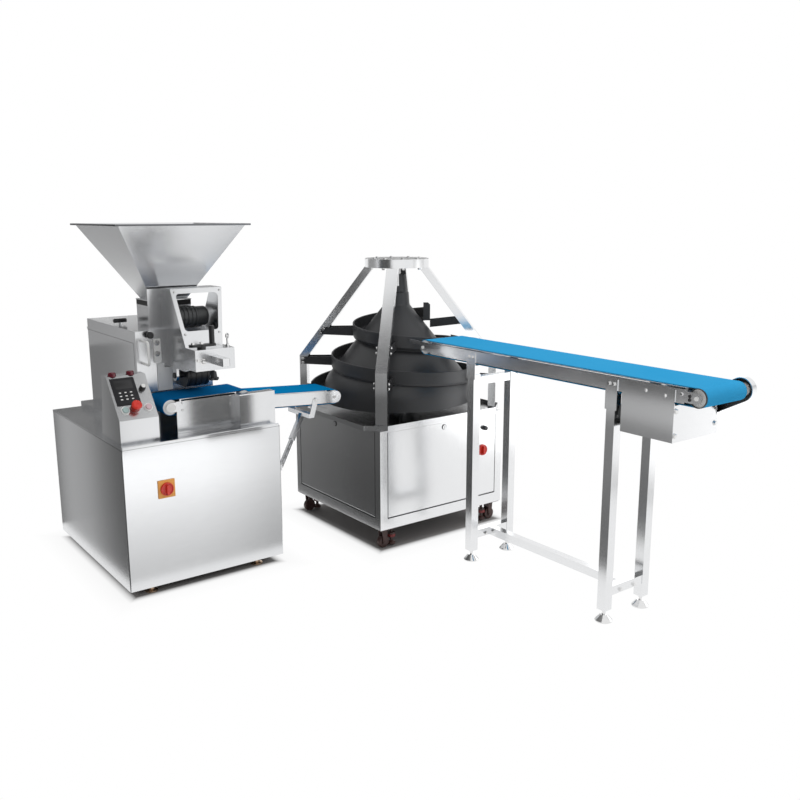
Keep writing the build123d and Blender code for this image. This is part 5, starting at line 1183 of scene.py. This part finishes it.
@dataclass
class Studio:
    """Floor, lamps, flats, world and camera."""

    lens: float = 39.39
    sensor: float = 36.0
    farthest: float = 100.0
    eye: Triple = (-1238.3, -3677.7, 1710.0)
    yaw: float = 36.86
    pitch: float = 11.93
    roll: float = -0.09
    ambient: float = 0.55
    aim: Triple = (1000, 0, 700)
    lamps: tuple[Lamp, ...] = (
        Lamp("key", (4600, -2800, 3800), 3.5, 120), Lamp("top", (1200, -300, 4800), 5.0, 70))
    floor_half: float = 30.0
    floor_roughness: float = 0.7
    # painted_shadow_tone darkens the floor's colour under and round the cabinets: a painted shadow, laid over
    # the real shade there.
    painted_shadow_tone: Colour = (0.17, 0.16, 0.155)
    floor_pale: Colour = (0.93, 0.93, 0.93)
    divider_margin: float = 0.02
    paling_rate: float = 2.0
    paling_start: float = 0.1
    # paling: the painted shadow's fade out from the cabinets, along the scaled distance; it also sets how
    # much white the camera sees.
    paling: Pairs = ((0.0, 0.0), (0.07, 0.03), (0.12, 0.55), (0.17, 0.9), (0.4, 1.0))
    # The flats glow only in reflections: their graded levels paint light and dark reflections on the line's
    # metal faces, highlights on the cone and shade on the housing's front wall (head_flag).
    cards: tuple[Card, ...] = (
        Card("left_flat", (-80, -900, 0), (0, 6000, 0), (0, 0, 2400),
             ((0, 0.09), (1000, 0.10), (1200, 0.13), (1420, 0.22), (1650, 0.36), (1950, 0.44), (2400, 0.34),
              (6000, 0.34))),
        Card("front_flat", (-100, -200, 0), (0, 0, 640), (1200, 0, 0),
             ((0, 0.66), (100, 0.76), (220, 0.88), (340, 1.04), (450, 1.22), (560, 1.28), (640, 1.28)),
             ((0, 1.0), (560, 1.0), (750, 0.90), (950, 0.72), (1200, 0.68))),
        Card("head_flag", (490, -200, 640), (0, 0, 210), (300, 0, 0), ((0, 0.10), (210, 0.16))),
        Card("row_flat", (1090, -1500, 0), (0, 2600, 0), (0, 0, 905),
             ((0, 0.55), (300, 0.50), (600, 0.46), (900, 0.36), (1200, 0.26), (1480, 0.19), (1750, 0.21),
              (2050, 0.31), (2600, 0.45)),
             ((0, 0.32), (300, 0.38), (500, 0.47), (760, 0.47), (800, 1.0), (905, 1.0))),
        Card("rear_flat", (-300, 1250, 0), (1300, 0, 0), (0, 0, 1000), ((0, 0.20), (1300, 0.20))),
        Card("right_flat", (2900, -2700, 50), (0, 0, 1400), (0, 2500, 0),
             ((0, 1.0), (250, 2.6), (900, 2.6), (1400, 1.0)),
             ((0, 0.4), (900, 0.6), (1500, 1.0), (2500, 0.6))),
        Card("back_card", (-1000, 7000, 2100), (9400, 0, 0), (0, 0, 2400), ((0, 0.10), (9400, 0.10))),
        Card("low_back_card", (-1000, 6990, 1600), (2950, 0, 0), (0, 0, 500), ((0, 0.12), (2950, 0.12))),
        Card("near_card", (-2500, -900, 0), (0, 0, 1300), (2780, 0, 0),
             ((0, 0.05), (380, 0.06), (450, 0.10), (550, 0.40), (700, 0.62), (780, 0.30), (1300, 0.25))),
        Card("ceiling_card", (0, -1300, 3000), (0, 1050, 0), (1150, 0, 0),
             ((0, 1.0), (750, 1.0), (1050, 1.7)), ((0, 0.04), (450, 0.08), (700, 0.34), (1150, 0.45))),
    )

    def camera(self) -> None:
        """Place the camera as the photograph's."""
        data = bpy.data.cameras.new("line_camera")
        data.lens = self.lens
        data.sensor_width = self.sensor
        data.clip_end = self.farthest
        camera = bpy.data.objects.new("line_camera", data)
        bpy.context.scene.collection.objects.link(camera)
        turn = (Matrix.Rotation(math.radians(-self.yaw), 4, "Z")
                @ Matrix.Rotation(math.radians(90 - self.pitch), 4, "X")
                @ Matrix.Rotation(math.radians(self.roll), 4, "Z"))
        camera.matrix_world = Matrix.Translation(at(*self.eye)) @ turn
        bpy.context.scene.camera = camera

    def prop(self, name: str, bm: bmesh.types.BMesh, material: bpy.types.Material) -> bpy.types.Object:
        """Turn a mesh into a part of the studio.

        Args:
            name: Object name.
            bm: Its mesh, freed here.
            material: Its material.

        Returns:
            The object.
        """
        mesh = bpy.data.meshes.new(name)
        bm.to_mesh(mesh)
        bm.free()
        mesh.materials.append(material)
        prop = bpy.data.objects.new(name, mesh)
        bpy.context.scene.collection.objects.link(prop)
        return prop

    def footprint(self, recipe: Recipe, spot: Tap, low: Vector, high: Vector) -> Tap:
        """Distance on the floor outside a box, in metres.

        Args:
            recipe: The material that asks.
            spot: The place on the floor.
            low: The box's low corner.
            high: The box's high corner.

        Returns:
            The distance, below zero inside.
        """
        middle = (low + high) / 2
        size = (high - low) / 2
        aside = abs(recipe.part(spot, "X") - middle.x) - size.x
        along = abs(recipe.part(spot, "Y") - middle.y) - size.y
        return aside.larger(along)

    def floor(self) -> None:
        """Lay a pale floor that is white to the camera, but for a painted shadow: its colour darkens under
        and round the two cabinets.
        """
        recipe = Recipe("pale_floor")
        spot = recipe.place()
        divider = self.footprint(recipe, spot, *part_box("divider_cabinet"))
        rounder = self.footprint(recipe, spot, *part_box("rounder_cabinet"))
        away = (divider + self.divider_margin).smaller(rounder)
        # The floor's colour goes from the painted shadow tone to pale with distance out from the cabinets;
        # the same share lets the camera see white.
        clear_of_painted_shadow = recipe.ramp(away * self.paling_rate + self.paling_start, self.paling)
        recipe.surface(Base_Color=recipe.blend(clear_of_painted_shadow, self.painted_shadow_tone, self.floor_pale),
                       Roughness=self.floor_roughness)
        light = recipe.node("ShaderNodeEmission", {}, {"Color": WHITE})
        surface = Tap(recipe.tree, recipe.shader.outputs[0])
        mix = recipe.node("ShaderNodeMixShader", {}, {0: recipe.seen() * clear_of_painted_shadow, 1: surface, 2: light})
        recipe.feed(recipe.tree.nodes["Material Output"].inputs["Surface"], mix)
        bm = bmesh.new()
        bmesh.ops.create_grid(bm, x_segments=1, y_segments=1, size=self.floor_half)
        self.prop("floor", bm, recipe.material)

    def grade(self, recipe: Recipe, corner: Vector, edge: Vector, stops: Pairs) -> Tap:
        """Levels along one edge of a flat.

        Args:
            recipe: The flat's material.
            corner: Where the edge starts.
            edge: The edge in millimetres.
            stops: Places in millimetres from the corner, and levels.

        Returns:
            The level.
        """
        way = edge.normalized() / (edge.length * MM)
        share = recipe.node("ShaderNodeVectorMath", {"operation": "DOT_PRODUCT"},
                            {0: recipe.place(), 1: tuple(way)}, "Value") - corner.dot(way)
        return recipe.ramp(share, [(place / edge.length, level) for place, level in stops])

    def stand(self, card: Card) -> None:
        """Stand a graded flat that only reflections show.

        Args:
            card: The flat.
        """
        recipe = Recipe(card.name)
        corner, along, rise = at(*card.corner), Vector(card.along), Vector(card.rise)
        lit = self.grade(recipe, corner, along, card.levels)
        if card.tints:
            lit = recipe.blend(1.0, lit, self.grade(recipe, corner, rise, card.tints), "MULTIPLY")
        behind = recipe.node("ShaderNodeNewGeometry", {}, {}, "Backfacing")
        recipe.surface(Base_Color=BLACK, Roughness=1.0, Specular_IOR_Level=0.0, Emission_Color=lit,
                       Emission_Strength=1.0, Alpha=1.0 - behind)
        bm = bmesh.new()
        sides = (Vector(), along, along + rise, rise)
        bm.faces.new([bm.verts.new(corner + side * MM) for side in sides])
        prop = self.prop(card.name, bm, recipe.material)
        for ray in ("camera", "diffuse", "shadow", "volume_scatter"):
            setattr(prop, "visible_" + ray, False)

    def hang(self, lamp: Lamp) -> None:
        """Hang a lamp and point it at the line.

        Args:
            lamp: The lamp.
        """
        data = bpy.data.lights.new(lamp.name, "AREA")
        data.size = lamp.side
        data.energy = lamp.power
        light = bpy.data.objects.new(lamp.name, data)
        bpy.context.scene.collection.objects.link(light)
        place = at(*lamp.place)
        turn = (at(*self.aim) - place).to_track_quat("-Z", "Y").to_matrix().to_4x4()
        light.matrix_world = Matrix.Translation(place) @ turn
        light.visible_glossy = False

    def world(self) -> None:
        """White for the camera and reflections, plain grey light for the rest."""
        world = bpy.data.worlds.new("studio")
        bpy.context.scene.world = world
        world.use_nodes = True
        graph = Graph(world.node_tree)
        back = graph.tree.nodes["Background"].inputs
        graph.feed(back["Color"], WHITE)
        graph.feed(back["Strength"], graph.seen() * (1 - self.ambient) + self.ambient)

    def build(self) -> None:
        """Set up the whole studio."""
        bpy.context.scene.view_settings.view_transform = "Standard"
        self.camera()
        self.floor()
        for card in self.cards:
            self.stand(card)
        self.world()
        for lamp in self.lamps:
            self.hang(lamp)
        LOG.info("studio ready")


def dress_nodes(finishes: Finishes) -> None:
    """Give every CAD node its finish.

    Args:
        finishes: The finishes.
    """
    chosen = {node: name for name, nodes in NODE_FINISH.items() for node in nodes}
    for node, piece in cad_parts.items():
        piece.data.materials.clear()
        piece.data.materials.append(finishes[chosen.get(node, "stainless")])


def main() -> None:
    """Build everything in order."""
    logging.basicConfig(level=logging.INFO)
    finishes = Finishes()
    finishes.build()
    dress_nodes(finishes)
    for station in (Console, DividerHead, ShortBelts, RounderFittings, OutfeedFittings):
        station(finishes).build()
        LOG.info("built %s", station.__name__)
    Studio().build()


if __name__ == "__main__":
    main()
